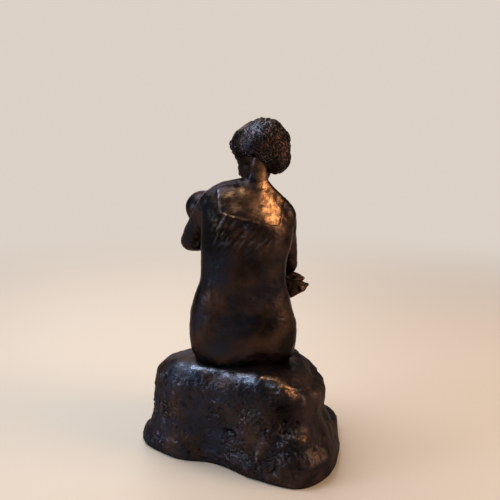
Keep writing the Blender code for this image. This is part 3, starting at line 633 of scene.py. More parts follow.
def fused(forms, voxel):
    """One skin round overlapping forms: they are laid in one mesh, and Blender's voxel remesh
    keeps its outside. Gives points, quads and edges."""
    points = np.concatenate([form[0] for form in forms])
    starts = np.cumsum([0] + [len(form[0]) for form in forms])
    quads = np.concatenate([form[1] + start for form, start in zip(forms, starts)])
    ends = [end + start for form, start in zip(forms, starts) for end in form[2]]
    clay = linked("clay", mesh_of("clay", points, quads, ends))
    wrap = clay.modifiers.new("wrap", "REMESH")
    wrap.mode = "VOXEL"
    wrap.voxel_size = voxel
    skin = applied(clay)
    points = np.empty(3 * len(skin.vertices), np.float32)
    skin.vertices.foreach_get("co", points)
    corners = np.empty(len(skin.loops), np.int32)
    skin.loops.foreach_get("vertex_index", corners)
    bpy.data.objects.remove(clay)
    bpy.data.meshes.remove(skin)
    quads = corners.reshape(-1, 4)
    return points.reshape(-1, 3).astype(float), quads, pairs_of(quads)


def filled(points, quads, edges, passes, share=0.8):
    """Soft fillets: each pass lifts only the points that lie below their neighbours, so joins
    fill as a thumb fills them and ridges keep their height."""
    for _ in range(passes):
        way = outward(points, quads)
        below = ((middle_of_neighbours(points, edges) - points) * way).sum(axis=1)
        points = pushed(points, way, share * np.maximum(below, 0))
    return points


def soft_skin(forms, voxel, smoothing, filling):
    """One skin round the forms, smoothed, and with its joins filled."""
    points, quads, edges = fused(forms, voxel)
    points = smoothed(points, edges, smoothing)
    return filled(points, quads, edges, filling), quads, edges


def on_trunk(points, margin):
    """1 on the trunk and 0 on the arms and legs, by the section of the trunk at that height."""
    rows = curve_through(TRUNK_ROWS, 8)
    height = points[:, 2] - SEAT_HEIGHT
    cx, cy, half, front, back = (np.interp(height, rows[:, 0], rows[:, k]) for k in range(1, 6))
    dx = (points[:, 0] - cx) / (half + margin)
    dy = (points[:, 1] - cy) / (np.where(points[:, 1] > cy, back, front) + margin)
    return 1 - ramp(np.hypot(dx, dy), 1.0, 1.12)


def inside_neckline(points):
    """How far inside the slip's square opening a point is, in metres: the least of its distances
    to the bottom edge, which slopes, and to the two straps."""
    x, y, z = points.T
    behind = y > 0
    bottom = np.where(behind, 0.2077, 0.201) + 0.245 * x
    left = np.where(behind, 0.0245, 0.0225) - x
    right = x + np.where(behind, 0.0235, 0.0255) + 0.26 * (z - 0.204)
    return np.minimum(np.minimum(0.97 * (z - bottom), left), 0.97 * right)


def arm(shoulder, upper_way, fore_way, bow, slimmer):
    """Upper arm and forearm along their two bones, with the forearm's swell to the bow side."""
    upper = unit(upper_way) * UPPER_ARM_LENGTH
    fore = unit(fore_way) * FOREARM_LENGTH
    swell = np.array(bow) * 0.0033
    joints = [
        shoulder,
        shoulder + 0.45 * upper + (0, 0, 0.002),
        shoulder + 0.87 * upper,
        shoulder + upper + 0.05 * fore,
        shoulder + upper + 0.33 * fore + swell,
        shoulder + upper + 0.67 * fore + swell,
        shoulder + upper + fore,
    ]
    radii = np.array((0.0118, 0.01, 0.0088, 0.0088, 0.0082, 0.0074, 0.0052)) * slimmer
    return limb(joints, radii), joints[-1]


def hand(wrist, along, across, curl):
    """Palm, four fingers that curl together, and a thumb laid beside them."""
    along, across, curl = (unit(way) for way in (along, across, curl))
    knuckles = wrist + along * 0.017
    made = [limb([wrist, (wrist + knuckles) / 2, knuckles], [0.005, 0.0068, 0.007], 0.62, curl)]
    fingers = ((0.012, 0.0018), (0.0148, 0.0019), (0.0155, 0.0019), (0.0138, 0.0019))
    for k, (length, radius) in enumerate(fingers):
        base = knuckles + across * (k - 1.5) * 0.0044 - along * 0.001
        bend = base + along * 0.55 * length + curl * 0.08 * length
        tip = bend + along * 0.38 * length + curl * 0.34 * length
        made.append(limb([base, bend, tip], [radius * 1.12, radius, radius * 0.82]))
    root = wrist + along * 0.005 + across * 0.0045
    bend = root + along * 0.0075 + across * 0.0035 + curl * 0.001
    made.append(limb([root, bend, bend + along * 0.0065 + curl * 0.001], [0.0032, 0.0026, 0.0021]))
    return made


THIGH_LENGTH = 0.08
THIGH_RADIUS = 0.0215
KNEE_RADIUS = 0.015
KNEE_SPREAD = 0.048
SKIRT_DROP = 0.052
KNEES_X = SPINE_X - 0.002
LAP_TOP = SEAT_HEIGHT + THIGH_RADIUS
LAP_REACH = KNEE_SPREAD / 2 + KNEE_RADIUS


def foot(ankle, way):
    """Heel, instep, ball and five toes, flat on the ledge."""
    sole = LEDGE_HEIGHT + 0.0005
    heel = np.array((ankle[0], ankle[1] + 0.006, sole + 0.0055))
    ahead = np.array((way * 0.1, -0.995, 0))
    aside = np.array((0.995, way * 0.1, 0)) * -way
    instep = heel + ahead * 0.021 + (0, 0, 0.0025)
    tread = heel + ahead * 0.036 - (0, 0, 0.0005)
    made = [
        limb([heel, instep, tread], [0.0062, 0.007, 0.005]),
        ball(tread - ahead * 0.002, (0.0088, 0.01, 0.0048)),
    ]
    for k, radius in enumerate((0.0031, 0.0024, 0.0023, 0.0022, 0.0021)):
        side = aside * (2 - k) * 0.0033
        toe = heel + ahead * (0.0455 - 0.0018 * k) + side * 1.05
        toe[2] = sole + 0.9 * radius
        middle = (tread + toe) / 2 + side * 0.5 + (0, 0, 0.001)
        made.append(limb([tread + side * 0.9, middle, toe], [0.0034, radius, radius]))
    return made


def legs():
    """Both thighs, shins, inner ankles and feet."""
    made = []
    for way in (-1, 1):
        hip = place(SPINE_X + way * 0.0195, -0.004, THIGH_RADIUS)
        knee_height = THIGH_RADIUS - 0.001 + 0.001 * way
        knee = place(KNEES_X + way * 0.5 * KNEE_SPREAD, -THIGH_LENGTH, knee_height)
        middle = 0.45 * hip + 0.55 * knee + (way * 0.001, 0, 0.001)
        made.append(limb([hip, middle, knee], [THIGH_RADIUS, THIGH_RADIUS * 0.9, KNEE_RADIUS]))
        ankle = knee + (-way * 0.005, 0.013 - 0.004 * way, 0)
        ankle[2] = LEDGE_HEIGHT + 0.011
        calf = 0.6 * knee + 0.4 * ankle + (0, 0.0045, 0)
        low = 0.25 * knee + 0.75 * ankle
        made.append(limb([knee, calf, low, ankle], [0.014, 0.0116, 0.008, 0.0064]))
        made.append(ball(ankle + (way * 0.005, 0.0005, 0.0005), (0.0028, 0.0032, 0.0032)))
        made += foot(ankle, way)
    return made


def lap():
    """The slip over the thighs: rounded sections from the belly to the knees, with a dip between
    the legs; then the cloth hangs from the knees as rings whose edge waves in and out."""
    rows = curve_through(
        (
            (0.004, SPINE_X, LAP_TOP, HIP_HALF_WIDTH * 0.94, 0.019, 0),
            (-0.024, SPINE_X, LAP_TOP, HIP_HALF_WIDTH * 0.97, 0.021, 0.001),
            (-0.052, KNEES_X + 0.001, LAP_TOP, HIP_HALF_WIDTH * 0.94, 0.019, 0.0035),
            (-0.08, KNEES_X, LAP_TOP - 0.001, LAP_REACH + 0.001, 0.016, 0.0055),
            (-0.093, KNEES_X, LAP_TOP - 0.003, LAP_REACH - 0.001, 0.0125, 0.0045),
            (-0.097, KNEES_X, LAP_TOP - 0.005, LAP_REACH - 0.005, 0.007, 0.002),
        ),
        8,
    )
    side, lift = superellipse(turns(96), 0.75)
    y, cx, cz, half, high, dip = (rows[:, k, None] for k in range(6))
    sink = dip * bell(side, 0.26) * np.maximum(lift, 0)
    over = np.stack([cx + half * side, y + 0 * side, cz + high * lift - sink], axis=-1)
    hem = curve_through(
        (
            (0.0, -0.079, LAP_REACH + 0.0005, 0.0195, 0.0),
            (0.4 * SKIRT_DROP, -0.0775, LAP_REACH, 0.02, 0.0012),
            (0.8 * SKIRT_DROP, -0.0745, LAP_REACH + 0.001, 0.0195, 0.0026),
            (SKIRT_DROP, -0.0735, LAP_REACH + 0.002, 0.0192, 0.0031),
        ),
        10,
    )
    around = turns(240)
    drop, cy, half, deep, fold = (hem[:, k, None] for k in range(5))
    wavy = 0.7 * np.cos(9 * around + 0.9 * np.sin(2 * around)) + 0.4 * np.cos(17 * around + 1)
    out = 1 + fold / deep * wavy
    edge, face = superellipse(around, 0.82)
    low = drop / SKIRT_DROP
    between_knees = 0.011 * low * bell(edge, 0.3) * np.maximum(-face, 0)
    hang = [
        KNEES_X + half * edge * out,
        cy + deep * face * out + between_knees,
        LAP_TOP - drop + 0.0012 * low * np.sin(3 * around + 0.6),
    ]
    return [solid(over), solid(np.stack(hang, axis=-1)[::-1])]


# Places on her back, in millimetres: x, y, z, radius sideways and upwards, height or strength
SHOULDER_BLADES = (
    (21, 24, 196, 13, 13, 1.3),
    (-15, 24, 191, 12, 12, 1.3),
)
BODICE_HATCHED = (
    (22, 22, 200, 13, 14, 1.0),
    (4, 26, 196, 10, 10, 0.6),
    (-12, 26, 190, 12, 10, 0.4),
)
BACK_RUBBED = (
    (-19, 20, 219, 11.5, 10, 1.0),
    (-14.5, 10, 229.6, 7, 7, 0.9),
    (-12.5, 5, 245, 5.2, 11, 0.8),
    (17.6, 14, 229.6, 5, 4, 0.8),
    (5, 13, 229, 5, 4.5, 0.7),
    (11.2, 20, 218.7, 6, 6, 0.3),
    (-6.4, 22, 218, 8, 9, 0.4),
    (-20.8, 22, 206.5, 7.5, 4, 0.9),
)
# Painted shade down her left shoulder and side
BACK_SHADED = (
    (35, 6, 224, 10, 12, 0.9),
    (32, 16, 206, 9, 22, 1.0),
    (30, 18, 185, 12, 18, 0.8),
    (38, 10, 150, 14, 30, 0.5),
)
# Where small painted highlights glint on the level drags
BACK_GLINTS = (
    (6, 26, 184, 14, 14, 1.0),
    (-6, 26, 160, 16, 20, 0.5),
)
# The neck, and the slopes from its foot to her two shoulders: x, y, z, radius
NECK = (
    (-0.005, -0.004, 0.234, 0.0094),
    (-0.0064, -0.0024, 0.244, 0.0087),
    (-0.0078, -0.001, 0.253, 0.0084),
    (-0.01, -0.001, 0.262, 0.0084),
)
RIGHT_SLOPE = (
    (-0.01, -0.003, 0.23, 0.009),
    (-0.0205, -0.001, 0.2185, 0.0095),
    (-0.0275, 0, 0.2105, 0.01),
)
LEFT_SLOPE = (
    (0.008, -0.003, 0.232, 0.008),
    (0.022, -0.002, 0.227, 0.0095),
    (0.0305, -0.001, 0.2195, 0.0115),
)


def tapered(rows):
    """A limb from rows of x, y, z and radius."""
    rows = np.array(rows)
    return limb(rows[:, :3], rows[:, 3])


def mother_forms():
    """Every ball and limb of her body, and where her two palms are."""
    breasts = [
        ball(
            place(SPINE_X - 0.003 + way * 0.0165, -0.015, CHEST_HEIGHT - 0.004 + way * 0.002),
            (0.015, 0.014, 0.016),
        )
        for way in (-1, 1)
    ]
    shoulder = place(0.0305, -0.001, SHOULDER_HEIGHT + 0.0035)
    ways = (0.38, -0.7, -0.61), (-0.82, -0.55, -0.14), (0.1, -1, 0)
    left, left_wrist = arm(shoulder, *ways, 1)
    shoulder = place(-0.0275, 0, SHOULDER_HEIGHT - 0.0075)
    ways = (-0.12, -0.63, -0.77), (0.79, -0.61, -0.13), (-0.6, -0.6, 0)
    right, right_wrist = arm(shoulder, *ways, 0.93)
    slopes = [tapered(RIGHT_SLOPE), tapered(LEFT_SLOPE), tapered(NECK)]
    forms = [trunk(), *breasts, left, right, *slopes, *legs(), *lap()]
    forms += hand(left_wrist, (-0.95, -0.3, -0.22), (0, 0.35, 1), (0, 1, -0.2))
    forms += hand(right_wrist, (0.95, -0.1, -0.12), (0, 0.3, 1), (0.1, 1, 0))
    return forms, (left_wrist + (-0.024, -0.008, -0.006), right_wrist + (0.024, -0.002, -0.003))


def mother_skin():
    """One skin with soft joins everywhere but between the fingers and the toes, and with the slip
    drawn smooth over the legs."""
    forms, palms = mother_forms()
    points, quads, edges = fused(forms, BODY_VOXEL)
    points = smoothed(points, edges, 3)
    joins = np.ones(len(points))
    for palm in palms:
        joins *= ramp(np.linalg.norm(points - palm, axis=1), 0.013, 0.021)
    joins *= 1 - ramp(-points[:, 1], 0.092, 0.098) * ramp(-points[:, 2], -0.03, -0.024)
    points = filled(points, quads, edges, 14, 0.8 * joins)
    draped = ramp(-points[:, 1], 0.06, 0.075) * ramp(points[:, 2], 0.06, 0.068)
    points = filled(points, quads, edges, 30, 0.8 * draped)
    return smoothed(points, edges, 1), quads, edges


def model_mother():
    points, quads, edges = mother_skin()
    x, y, z = points.T
    body = on_trunk(points, 0.003)
    behind = ramp(y, 0.002, 0.014) * body

    # The furrow of the spine between its two ridges, and the shoulder blades
    spine = x - SPINE_X + 0.1 * np.clip(z - 0.19, 0, 1)
    furrow = bell(spine, 0.0042) * ramp(z, 0.105, 0.135) * (1 - ramp(z, 0.185, 0.215))
    ridges = bell(np.abs(spine) - 0.012, 0.008)
    ridges *= ramp(z, 0.115, 0.14) * (1 - ramp(z, 0.17, 0.2))
    height = (0.001 * relief(points, SHOULDER_BLADES) + 0.0008 * ridges - 0.0011 * furrow) * behind

    # The slip: its thickness, the rolled edge of its neckline and the cord of its left strap
    opening = inside_neckline(points) + 0.0005 * lumps(points, 0.006, 47)
    high = ramp(z, 0.17, 0.19) * body
    cloth = ramp(-opening, -0.0003, 0.0006)
    edge = bell(opening, 0.0009)
    height += (0.0006 * cloth + 0.00022 * edge) * high
    strap = ramp(z, 0.2115, 0.215) * (1 - ramp(z, 0.229, 0.234)) * ramp(y, 0.002, 0.01)
    strap_off = x - 0.0265 + 0.17 * (0.2307 - z)
    height += 0.0007 * bell(strap_off, 0.0012) * strap

    # The clay's own unevenness, slanted cuts on the bodice, level drags, and folds in the skirt
    height += 0.00035 * broken(points, 0.012, 41) + 0.00014 * lumps(points, 0.0035, 45)
    slanted = points @ np.array(((0.75, 0, -0.66), (0, 1, 0), (0.66, 0, 0.75)))
    stroke = lumps(slanted * (1, 1, 0.25), 0.0022, 53)
    hatched = relief(points, BODICE_HATCHED) * cloth * behind
    level = lumps(points * (0.25, 1, 1), 0.0026, 51) * ramp(lumps(points, 0.018, 55), -0.25, 0.35)
    height += 0.0008 * stroke * hatched + 0.00012 * level * body
    skirt = ramp(-y, 0.05, 0.065) * (1 - ramp(z, 0.078, 0.096)) * ramp(z, 0.0545, 0.0575)
    height += 0.0013 * lumps(points * (1, 1, 0.15), 0.009, 97) * skirt
    points = pushed(points, outward(points, quads), height)

    stands_out = curvature(points, quads, edges, 8)
    bare = ramp(opening, 0.0, 0.0015) * high * ramp(y, -0.004, 0.006)
    bare = np.maximum(bare, ramp(z, 0.236, 0.242) * 0.8)
    worn = 0.22 * ramp(stands_out, 0.0001, 0.0006) + 0.22 * edge * high * behind
    worn += np.minimum(relief(points, BACK_RUBBED), 1) * bare
    # Dark in creases and in the dark cuts of the hatching, from patina and painted shade;
    # BACK_SHADED adds painted shade down her left side
    deep = ramp(-stands_out, 0.00008, 0.0006) + 0.7 * ramp(-stroke, 0.05, 0.45) * hatched
    deep += 0.75 * relief(points, BACK_SHADED) * ramp(y, -0.002, 0.006)
    patchy = 0.35 + 0.65 * ramp(lumps(points, 0.005, 59), -0.3, 0.3)
    # Painted highlights: a thin line along the edge of the left strap, the light sides of the
    # hatching, and glints on the level drags
    polish = 0.75 * bell(strap_off + 0.0004, 0.0008) * strap * patchy
    polish += 0.3 * ramp(stroke, 0.2, 0.6) * hatched
    polish += 0.3 * ramp(level, 0.34, 0.62) * relief(points, BACK_GLINTS) * cloth * behind
    cast("mother", points, quads, (), worn=worn, deep=deep, polish=polish)


model_mother()

# ----------------------------------------
# Her head, bowed and turned to the child. A calm, general face, modelled as a relief on the front
# of the skull.
# ----------------------------------------

HEAD_TURN = math.radians(48)
HEAD_BOW = math.radians(17)
HEAD_CENTRE = place(SPINE_X - 0.0125, -0.01, NECK_FOOT_HEIGHT + 0.0245)
TURN_COS, TURN_SIN = math.cos(HEAD_TURN), math.sin(HEAD_TURN)
BOW_COS, BOW_SIN = math.cos(HEAD_BOW), math.sin(HEAD_BOW)
HEAD_AXES = np.array(((TURN_COS, -TURN_SIN, 0), (TURN_SIN, TURN_COS, 0), (0, 0, 1))) @ np.array(
    ((1, 0, 0), (0, BOW_COS, -BOW_SIN), (0, BOW_SIN, BOW_COS))
)
HEAD_VOXEL = 0.0004
# In the head's own axes, the skull, cheeks, chin and wings of the nose: centre, three radii
HEAD_BALLS = (
    ((0, 0, 0.004), (0.0165, 0.021, 0.019)),
    ((0, -0.006, -0.0085), (0.0138, 0.0142, 0.0155)),
    ((0, -0.0135, -0.019), (0.0064, 0.0068, 0.0057)),
    ((0.0024, -0.0208, -0.0104), (0.0019, 0.0024, 0.0017)),
    ((-0.0024, -0.0208, -0.0104), (0.0019, 0.0024, 0.0017)),
)
NOSE = ((0, -0.0186, 0.002), (0, -0.0205, -0.002), (0, -0.023, -0.0092))
JAW = (
    (0.0105, 0.001, -0.0085),
    (0.007, -0.012, -0.0195),
    (-0.007, -0.012, -0.0195),
    (-0.0105, 0.001, -0.0085),
)


def in_head(point):
    """A place given in the head's own axes: to its left, to its back and up."""
    return HEAD_CENTRE + HEAD_AXES @ np.array(point)


def head_limb(path, radii):
    return limb([in_head(point) for point in path], radii)


def head_balls(rows):
    return [ball(in_head(centre), radii, HEAD_AXES) for centre, radii in rows]


def hill(u, v, wide, high):
    """A bell over the face: 1 in the middle, falling off by wide across and high upwards."""
    return np.exp(-((u / wide) ** 2) - (v / high) ** 2)


def face_relief(x, z):
    """How far the face stands out at x across and z up, as a sum of bells: brows, sockets, lids,
    cheeks, lips and chin, on the thirds that drawing books give."""
    side = np.abs(x)
    eye_x, eye_z = (side - 0.0066) / 0.0036, (z + 0.0016) / 0.0023
    out = 0.0007 * hill(side - 0.0065, z - 0.0032, 0.005, 0.0018)
    out -= 0.0021 * hill(side - 0.0064, z + 0.001, 0.0042, 0.0031)
    out += 0.0017 * np.sqrt(np.maximum(1 - eye_x**2 - eye_z**2, 0))
    out -= 0.0004 * bell(z + 0.0027, 0.00045) * (np.abs(eye_x) < 1)
    out += 0.0006 * hill(side - 0.01, z + 0.006, 0.0035, 0.0035)
    out -= 0.0003 * hill(side, z + 0.0131, 0.0011, 0.0014)
    upper = np.maximum(1 - (x / 0.006) ** 2, 0)
    out += 0.0009 * bell(z + 0.0149, 0.001) * upper
    out += 0.0011 * bell(z + 0.0173, 0.0011) * np.maximum(1 - (x / 0.005) ** 2, 0)
    out -= 0.0008 * bell(z + 0.016, 0.0004) * upper**0.5
    out -= 0.0006 * hill(x, z + 0.02, 0.004, 0.001)
    return out


def model_head():
    forms = head_balls(HEAD_BALLS)
    forms.append(head_limb(NOSE, [0.0019, 0.0017, 0.0023]))
    forms.append(head_limb(JAW, [0.0028, 0.0042, 0.0042, 0.0028]))
    neck = [(-0.0064, -0.004, 0.245), (-0.0078, -0.003, 0.254), in_head((0, 0.004, 0))]
    forms.append(limb(neck, [0.007, 0.0072, 0.0085]))
    points, quads, edges = soft_skin(forms, HEAD_VOXEL, 5, 10)
    own = (points - HEAD_CENTRE) @ HEAD_AXES
    front = ramp(-own[:, 1], 0.008, 0.0145) * ramp(own[:, 2], -0.0245, -0.0215)
    out = face_relief(own[:, 0], own[:, 2]) * front + 0.00012 * broken(points, 0.006, 61)
    points = smoothed(points - HEAD_AXES[:, 1] * out[:, None], edges, 1, 0.3)
    stands_out = curvature(points, quads, edges, 10)
    # Painted shade on the sliver of face and jaw that is turned away from the light
    painted_face_shade = relief(points, ((4, -4, 252, 7, 12, 0.9),))
    deep = ramp(-stands_out, 0.00006, 0.0004) + painted_face_shade
    cast("head", points, quads, (), worn=0.3 * ramp(stands_out, 0.0001, 0.0005), deep=deep)


model_head()

# ----------------------------------------
# Her hair: a short thick mop, rolled at the brow and full at the nape, with every curl drawn in
# the clay as a squiggle.
# ----------------------------------------


HAIR_VOXEL = 0.00042
# In the head's own axes: centre, three radii
HAIR_BALLS = (
    ((0, 0.008, 0.0075), (0.0215, 0.0222, 0.021)),
    ((0, 0.0158, -0.0066), (0.015, 0.0127, 0.0124)),
    ((0, 0.0172, 0.001), (0.015, 0.0134, 0.013)),
    ((0, -0.001, 0.015), (0.0172, 0.018, 0.013)),
)
BROW_ROLL = (
    (0.0135, -0.0075, 0.0055),
    (0.0105, -0.012, 0.01),
    (0.005, -0.0165, 0.015),
    (-0.006, -0.0175, 0.015),
    (-0.013, -0.0145, 0.01),
    (-0.0165, -0.009, 0.002),
)
# Taken away behind her left ear, in millimetres in the head's own axes: the hairline rises there
HAIRLINE = (
    (15, 2, -10, 9.5, 8, 7.5),
    (11, 11, -17, 7, 7, 5),
)
# Where a highlight is painted on the crown, in millimetres, with a strength at the end
HAIR_PAINTED_HIGHLIGHT = (
    (-4, 10.5, 280.7, 9, 7, 1.0),
    (4, 6.6, 272.7, 7, 7, 0.6),
    (-12.1, 5.1, 285.5, 7, 5, 0.6),
)


def model_hair():
    """Curls are the lines where bent noise crosses zero, cut in by a bell; on the combed part at
    her left they give way to straight strokes."""
    forms = head_balls(HAIR_BALLS)
    forms.append(head_limb(BROW_ROLL, [0.0042, 0.0048, 0.0046, 0.0046, 0.005, 0.0048]))
    points, quads, edges = soft_skin(forms, HAIR_VOXEL, 4, 8)
    bent = points + 0.0017 * np.stack([lumps(points, 0.0046, 70 + k) for k in range(3)], axis=1)
    curls = 1 - bell(lumps(bent, 0.0047, 75), 0.18)
    finer = 1 - bell(lumps(bent, 0.0029, 79), 0.22)
    strokes = lumps(points @ HEAD_AXES * (1, 0.35, 1), 0.0024, 87)
    combed = ramp(points[:, 0], -0.012, 0.003) * ramp(points[:, 2], 0.262, 0.275)
    height = 0.0011 * lumps(points, 0.0085, 83) + 0.00034 * strokes * (0.3 + combed)
    height += (1 - 0.7 * combed) * (0.0011 * curls + 0.00035 * finer)
    height -= 0.001 * relief((points - HEAD_CENTRE) @ HEAD_AXES, HAIRLINE)
    points = pushed(points, outward(points, quads), height - 0.0004)
    points = smoothed(points, edges, 2)
    stands_out = curvature(points, quads, edges, 8)
    # Dark in the grooves of the curls from patina, and painted shade under the mop, deeper the
    # further below the head's centre
    below = (HEAD_CENTRE - points) @ HEAD_AXES[:, 2]
    deep = ramp(-stands_out, 0.00002, 0.00035) + 0.5 * ramp(below, 0.004, 0.016)
    polish = relief(points, HAIR_PAINTED_HIGHLIGHT) * (0.15 + 0.6 * ramp(stands_out, 0.00002, 0.0005))
    worn = 0.22 * ramp(stands_out, 0.0001, 0.0006)
    cast("hair", points, quads, (), worn=worn, deep=deep, polish=polish)


model_hair()

# ----------------------------------------
# The child: a smooth round head against her upper arm, a plain smock, and two bare feet that come
# out past her right elbow.
# ----------------------------------------


CHILD_VOXEL = 0.0006
CHILD_FACE_SCALE = 0.72
CHILD_SEAT = place(0.002, -0.043, 2 * THIGH_RADIUS + 0.014)
CHILD_CHEST = CHILD_SEAT + (0.027, -0.008, 0.037)
CHILD_NECK = CHILD_CHEST + (0.008, -0.002, 0.012)
CHILD_CROWN = CHILD_NECK + (0.006, -0.002, 0.018)
GAZE = unit((-0.66, -0.3, 0.6))
ASIDE = unit(np.cross(CHILD_CHEST - CHILD_SEAT, GAZE))
CHILD_UP = unit(CHILD_CROWN - CHILD_CHEST - GAZE * ((CHILD_CROWN - CHILD_CHEST) @ GAZE))
CHILD_AXES = np.column_stack([np.cross(-GAZE, CHILD_UP), -GAZE, CHILD_UP])
# In the face's own axes, the chin, cheeks, nose and ears: centre, three radii
CHILD_FACE_BALLS = (
    ((0, -0.0135, -0.011), (0.0062, 0.0052, 0.0048)),
    ((0.0052, -0.012, -0.0066), (0.005, 0.0048, 0.0048)),
    ((-0.0052, -0.012, -0.0066), (0.005, 0.0048, 0.0048)),
    ((0, -0.0188, -0.0046), (0.002, 0.0019, 0.0016)),
    ((0.0152, -0.001, -0.003), (0.0016, 0.0026, 0.0038)),
    ((-0.0152, -0.001, -0.003), (0.0016, 0.0026, 0.0038)),
)
CHILD_NOSE = np.array(((0, -0.0168, 0.0022), (0, -0.0182, -0.0036)))


def child_arm(way):
    shoulder = CHILD_CHEST + ASIDE * way * 0.012 + (0, 0, 0.002)
    elbow = shoulder + ASIDE * way * 0.002 + (-0.008, -0.004, -0.008)
    fist = elbow + (-0.011, 0.001 * way, 0.007)
    sleeve = limb([shoulder, elbow, fist], [0.0055, 0.0046, 0.0037])
    return [sleeve, ball(fist, (0.0045, 0.004, 0.0045))]


def child_leg(far):
    """The near leg, or the far one a little above it: thigh and shin, heel, sole, instep, toes."""
    hip = CHILD_SEAT + (-0.005, 0.008 - 0.016 * far, -0.001)
    knee = hip + (-0.02, -0.004, 0.003 + 0.003 * far)
    heel = CHILD_SEAT + (-0.038 + 0.0035 * far, 0.01 - 0.012 * far, -0.0063 + 0.0048 * far)
    ankle = heel + (0.001, 0, 0.0065)
    tread = heel + (-0.0095, 0, 0.0044)
    sole = [heel, (heel + tread) / 2 + (-0.0005, 0, 0.0008), tread]
    instep = [ankle, (ankle + tread) / 2 + (-0.0012, 0, 0.0012), tread + (-0.0012, 0, 0.0006)]
    made = [
        limb([hip, knee, ankle], [0.0086, 0.0072, 0.0049]),
        limb([ankle, heel], [0.0048, 0.0058]),
        limb(sole, [0.0058, 0.0057, 0.0052]),
        limb(instep, [0.0046, 0.0048, 0.0046]),
    ]
    for k, radius in enumerate((0.0019, 0.0017, 0.0016, 0.0016, 0.0015)):
        side = (k - 2) * (1 - 2 * far)
        base = tread + (-0.0008, side * 0.0017, 0)
        tip = base + (-0.0052 + 0.0006 * k, side * 0.0002, 0.0013)
        made.append(limb([base, tip], [0.004, radius]))
    return made


def model_child():
    width = ASIDE * 0.009
    belly = (CHILD_SEAT + CHILD_CHEST) / 2 + (-0.002, 0, 0.001)
    forms = [
        limb([CHILD_SEAT, belly, CHILD_CHEST, CHILD_NECK], [0.0148, 0.0148, 0.0128, 0.0085]),
        limb([CHILD_CHEST + width, CHILD_CHEST, CHILD_CHEST - width], [0.0085, 0.011, 0.0085]),
        ball(CHILD_CROWN, (0.0158, 0.0158, 0.0158)),
        ball(CHILD_CROWN + GAZE * 0.0055 + (0, 0, -0.003), (0.0128, 0.0128, 0.0128)),
    ]
    for centre, radii in CHILD_FACE_BALLS:
        forms.append(ball(CHILD_CROWN + CHILD_AXES @ np.array(centre), radii, CHILD_AXES))
    forms.append(limb(CHILD_CROWN + CHILD_NOSE @ CHILD_AXES.T, [0.0012, 0.0014]))
    forms += child_arm(-1) + child_arm(1) + child_leg(0) + child_leg(1)
    points, quads, edges = soft_skin(forms, CHILD_VOXEL, 4, 16)

    # The smock's folds run along the body, so their noise is stretched that way
    spine = unit(CHILD_NECK - CHILD_SEAT)
    along = (points - CHILD_SEAT) @ spine
    gathered = lumps(points - 0.72 * along[:, None] * spine, 0.0055, 93)
    smock = (1 - ramp(along, 0.03, 0.04)) * ramp(along, -0.014, -0.008)
    height = 0.0002 * broken(points, 0.008, 91) + 0.0006 * gathered * smock
    points = pushed(points, outward(points, quads), height)

    own = (points - CHILD_CROWN) @ CHILD_AXES
    x, z = own[:, 0] / CHILD_FACE_SCALE, (own[:, 2] - 0.0012) / CHILD_FACE_SCALE
    front = ramp(-own[:, 1], 0.009, 0.0125) * (1 - ramp(np.linalg.norm(own, axis=1), 0.0225, 0.024))
    points = points + GAZE * (CHILD_FACE_SCALE * face_relief(x, z) * front)[:, None]
    stands_out = curvature(points, quads, edges, 8)
    toes = 1 - ramp(points[:, 0], -0.046, -0.034)
    worn = 0.25 * ramp(stands_out, 0.0001, 0.0005) + 0.12 * toes
    cast("child", points, quads, (), worn=worn, deep=ramp(-stands_out, 0.00006, 0.0005))


model_child()

# ----------------------------------------
# The stage: a plain pale floor, soft light all round, a cool light high on her left and a warmer
# one on her right, and the camera behind her.
# ----------------------------------------

BACKDROP_COLOUR = (0.72, 0.64, 0.57, 1)
FLOOR_COLOUR = (0.59, 0.49, 0.4, 1)
FLOOR_RADIUS = 3.5
GROUP_MIDDLE = (0, 0, 0.14)
CAMERA_PLACE = (0, 0.57, 0.28)
CAMERA_PITCH = math.radians(10)
FRAME_PIXELS = 500
FOCAL_PIXELS = 687
# Name, place, side, power, colour
LAMPS = (
    ("ceiling", (0.4, -0.12, 1.15), 0.8, 12, (0.88, 0.94, 1.0)),
    ("cool", (1.2, 0.35, 0.5), 0.45, 7, (0.66, 0.81, 1.0)),
    ("warm", (-1.1, 0.3, 0.7), 0.75, 13, (1.0, 0.69, 0.43)),
    ("fill", (0.2, -1.2, 0.7), 0.9, 6, (1.0, 0.97, 0.94)),
)


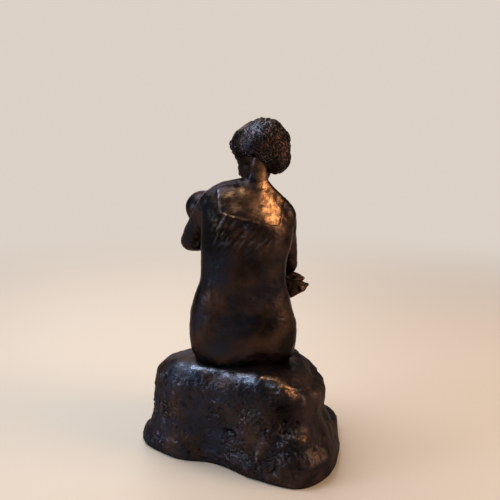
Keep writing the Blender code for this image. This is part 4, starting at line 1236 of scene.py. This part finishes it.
def pale_floor():
    """The floor takes the group's shadow near it, and from half a metre out it passes softly
    into the colour of the backdrop."""
    material = bpy.data.materials.new("pale_floor")
    material.use_nodes = True
    tree = material.node_tree
    shader = tree.nodes["Principled BSDF"]
    connect(tree, shader, {"Base Color": FLOOR_COLOUR, "Roughness": 0.6})
    place = add_node(tree, "TexCoord", {})["Object"]
    away = add_node(tree, "VectorMath", {0: place}, operation="LENGTH")["Value"]
    near_and_far = {"Value": away, "From Min": 0.35, "From Max": 1.3}
    far = add_node(tree, "MapRange", near_and_far, interpolation_type="SMOOTHSTEP")["Result"]
    glow = add_node(tree, "Emission", {"Color": BACKDROP_COLOUR})["Emission"]
    seen = add_node(tree, "MixShader", {"Fac": far, 1: shader.outputs["BSDF"], 2: glow})["Shader"]
    connect(tree, tree.nodes["Material Output"], {"Surface": seen})
    turn = turns(96)
    rim = np.stack([FLOOR_RADIUS * np.cos(turn), FLOOR_RADIUS * np.sin(turn), 0 * turn], axis=1)
    mesh = bpy.data.meshes.new("floor")
    mesh.from_pydata(rim.tolist(), [], [list(range(len(rim)))])
    mesh.materials.append(material)
    linked("floor", mesh)


def soft_lamp(name, at, size, power, colour):
    """A square lamp at that place, facing the middle of the group."""
    light = bpy.data.lights.new(name, "AREA")
    light.size = size
    light.energy = power
    light.color = colour
    lamp = linked(name, light)
    lamp.location = at
    x, y, z = np.array(at) - GROUP_MIDDLE
    lamp.rotation_euler = (math.atan2(math.hypot(x, y), z), 0, math.atan2(x, -y))


def surroundings():
    """Soft grey light from all round, and the backdrop's colour where the camera sees past."""
    world = bpy.data.worlds.new("soft_light")
    bpy.context.scene.world = world
    world.use_nodes = True
    tree = world.node_tree
    lit = tree.nodes["Background"]
    connect(tree, lit, {"Color": (0.92, 0.9, 0.88, 1), "Strength": 0.24})
    seen = add_node(tree, "Background", {"Color": BACKDROP_COLOUR, "Strength": 1})["Background"]
    ray = add_node(tree, "LightPath", {})["Is Camera Ray"]
    both = {"Fac": ray, 1: lit.outputs["Background"], 2: seen}
    surface = add_node(tree, "MixShader", both)["Shader"]
    connect(tree, tree.nodes["World Output"], {"Surface": surface})


def camera():
    """The photograph's view: from behind, as high as the top of her head, looking a little down."""
    lens = bpy.data.cameras.new("camera")
    lens.sensor_width = 36
    lens.lens = 36 * FOCAL_PIXELS / FRAME_PIXELS
    eye = linked("camera", lens)
    eye.location = CAMERA_PLACE
    eye.rotation_euler = (math.pi / 2 - CAMERA_PITCH, 0, math.pi)
    bpy.context.scene.camera = eye


pale_floor()
for lamp in LAMPS:
    soft_lamp(*lamp)
surroundings()
camera()
bpy.context.scene.view_settings.view_transform = "Standard"
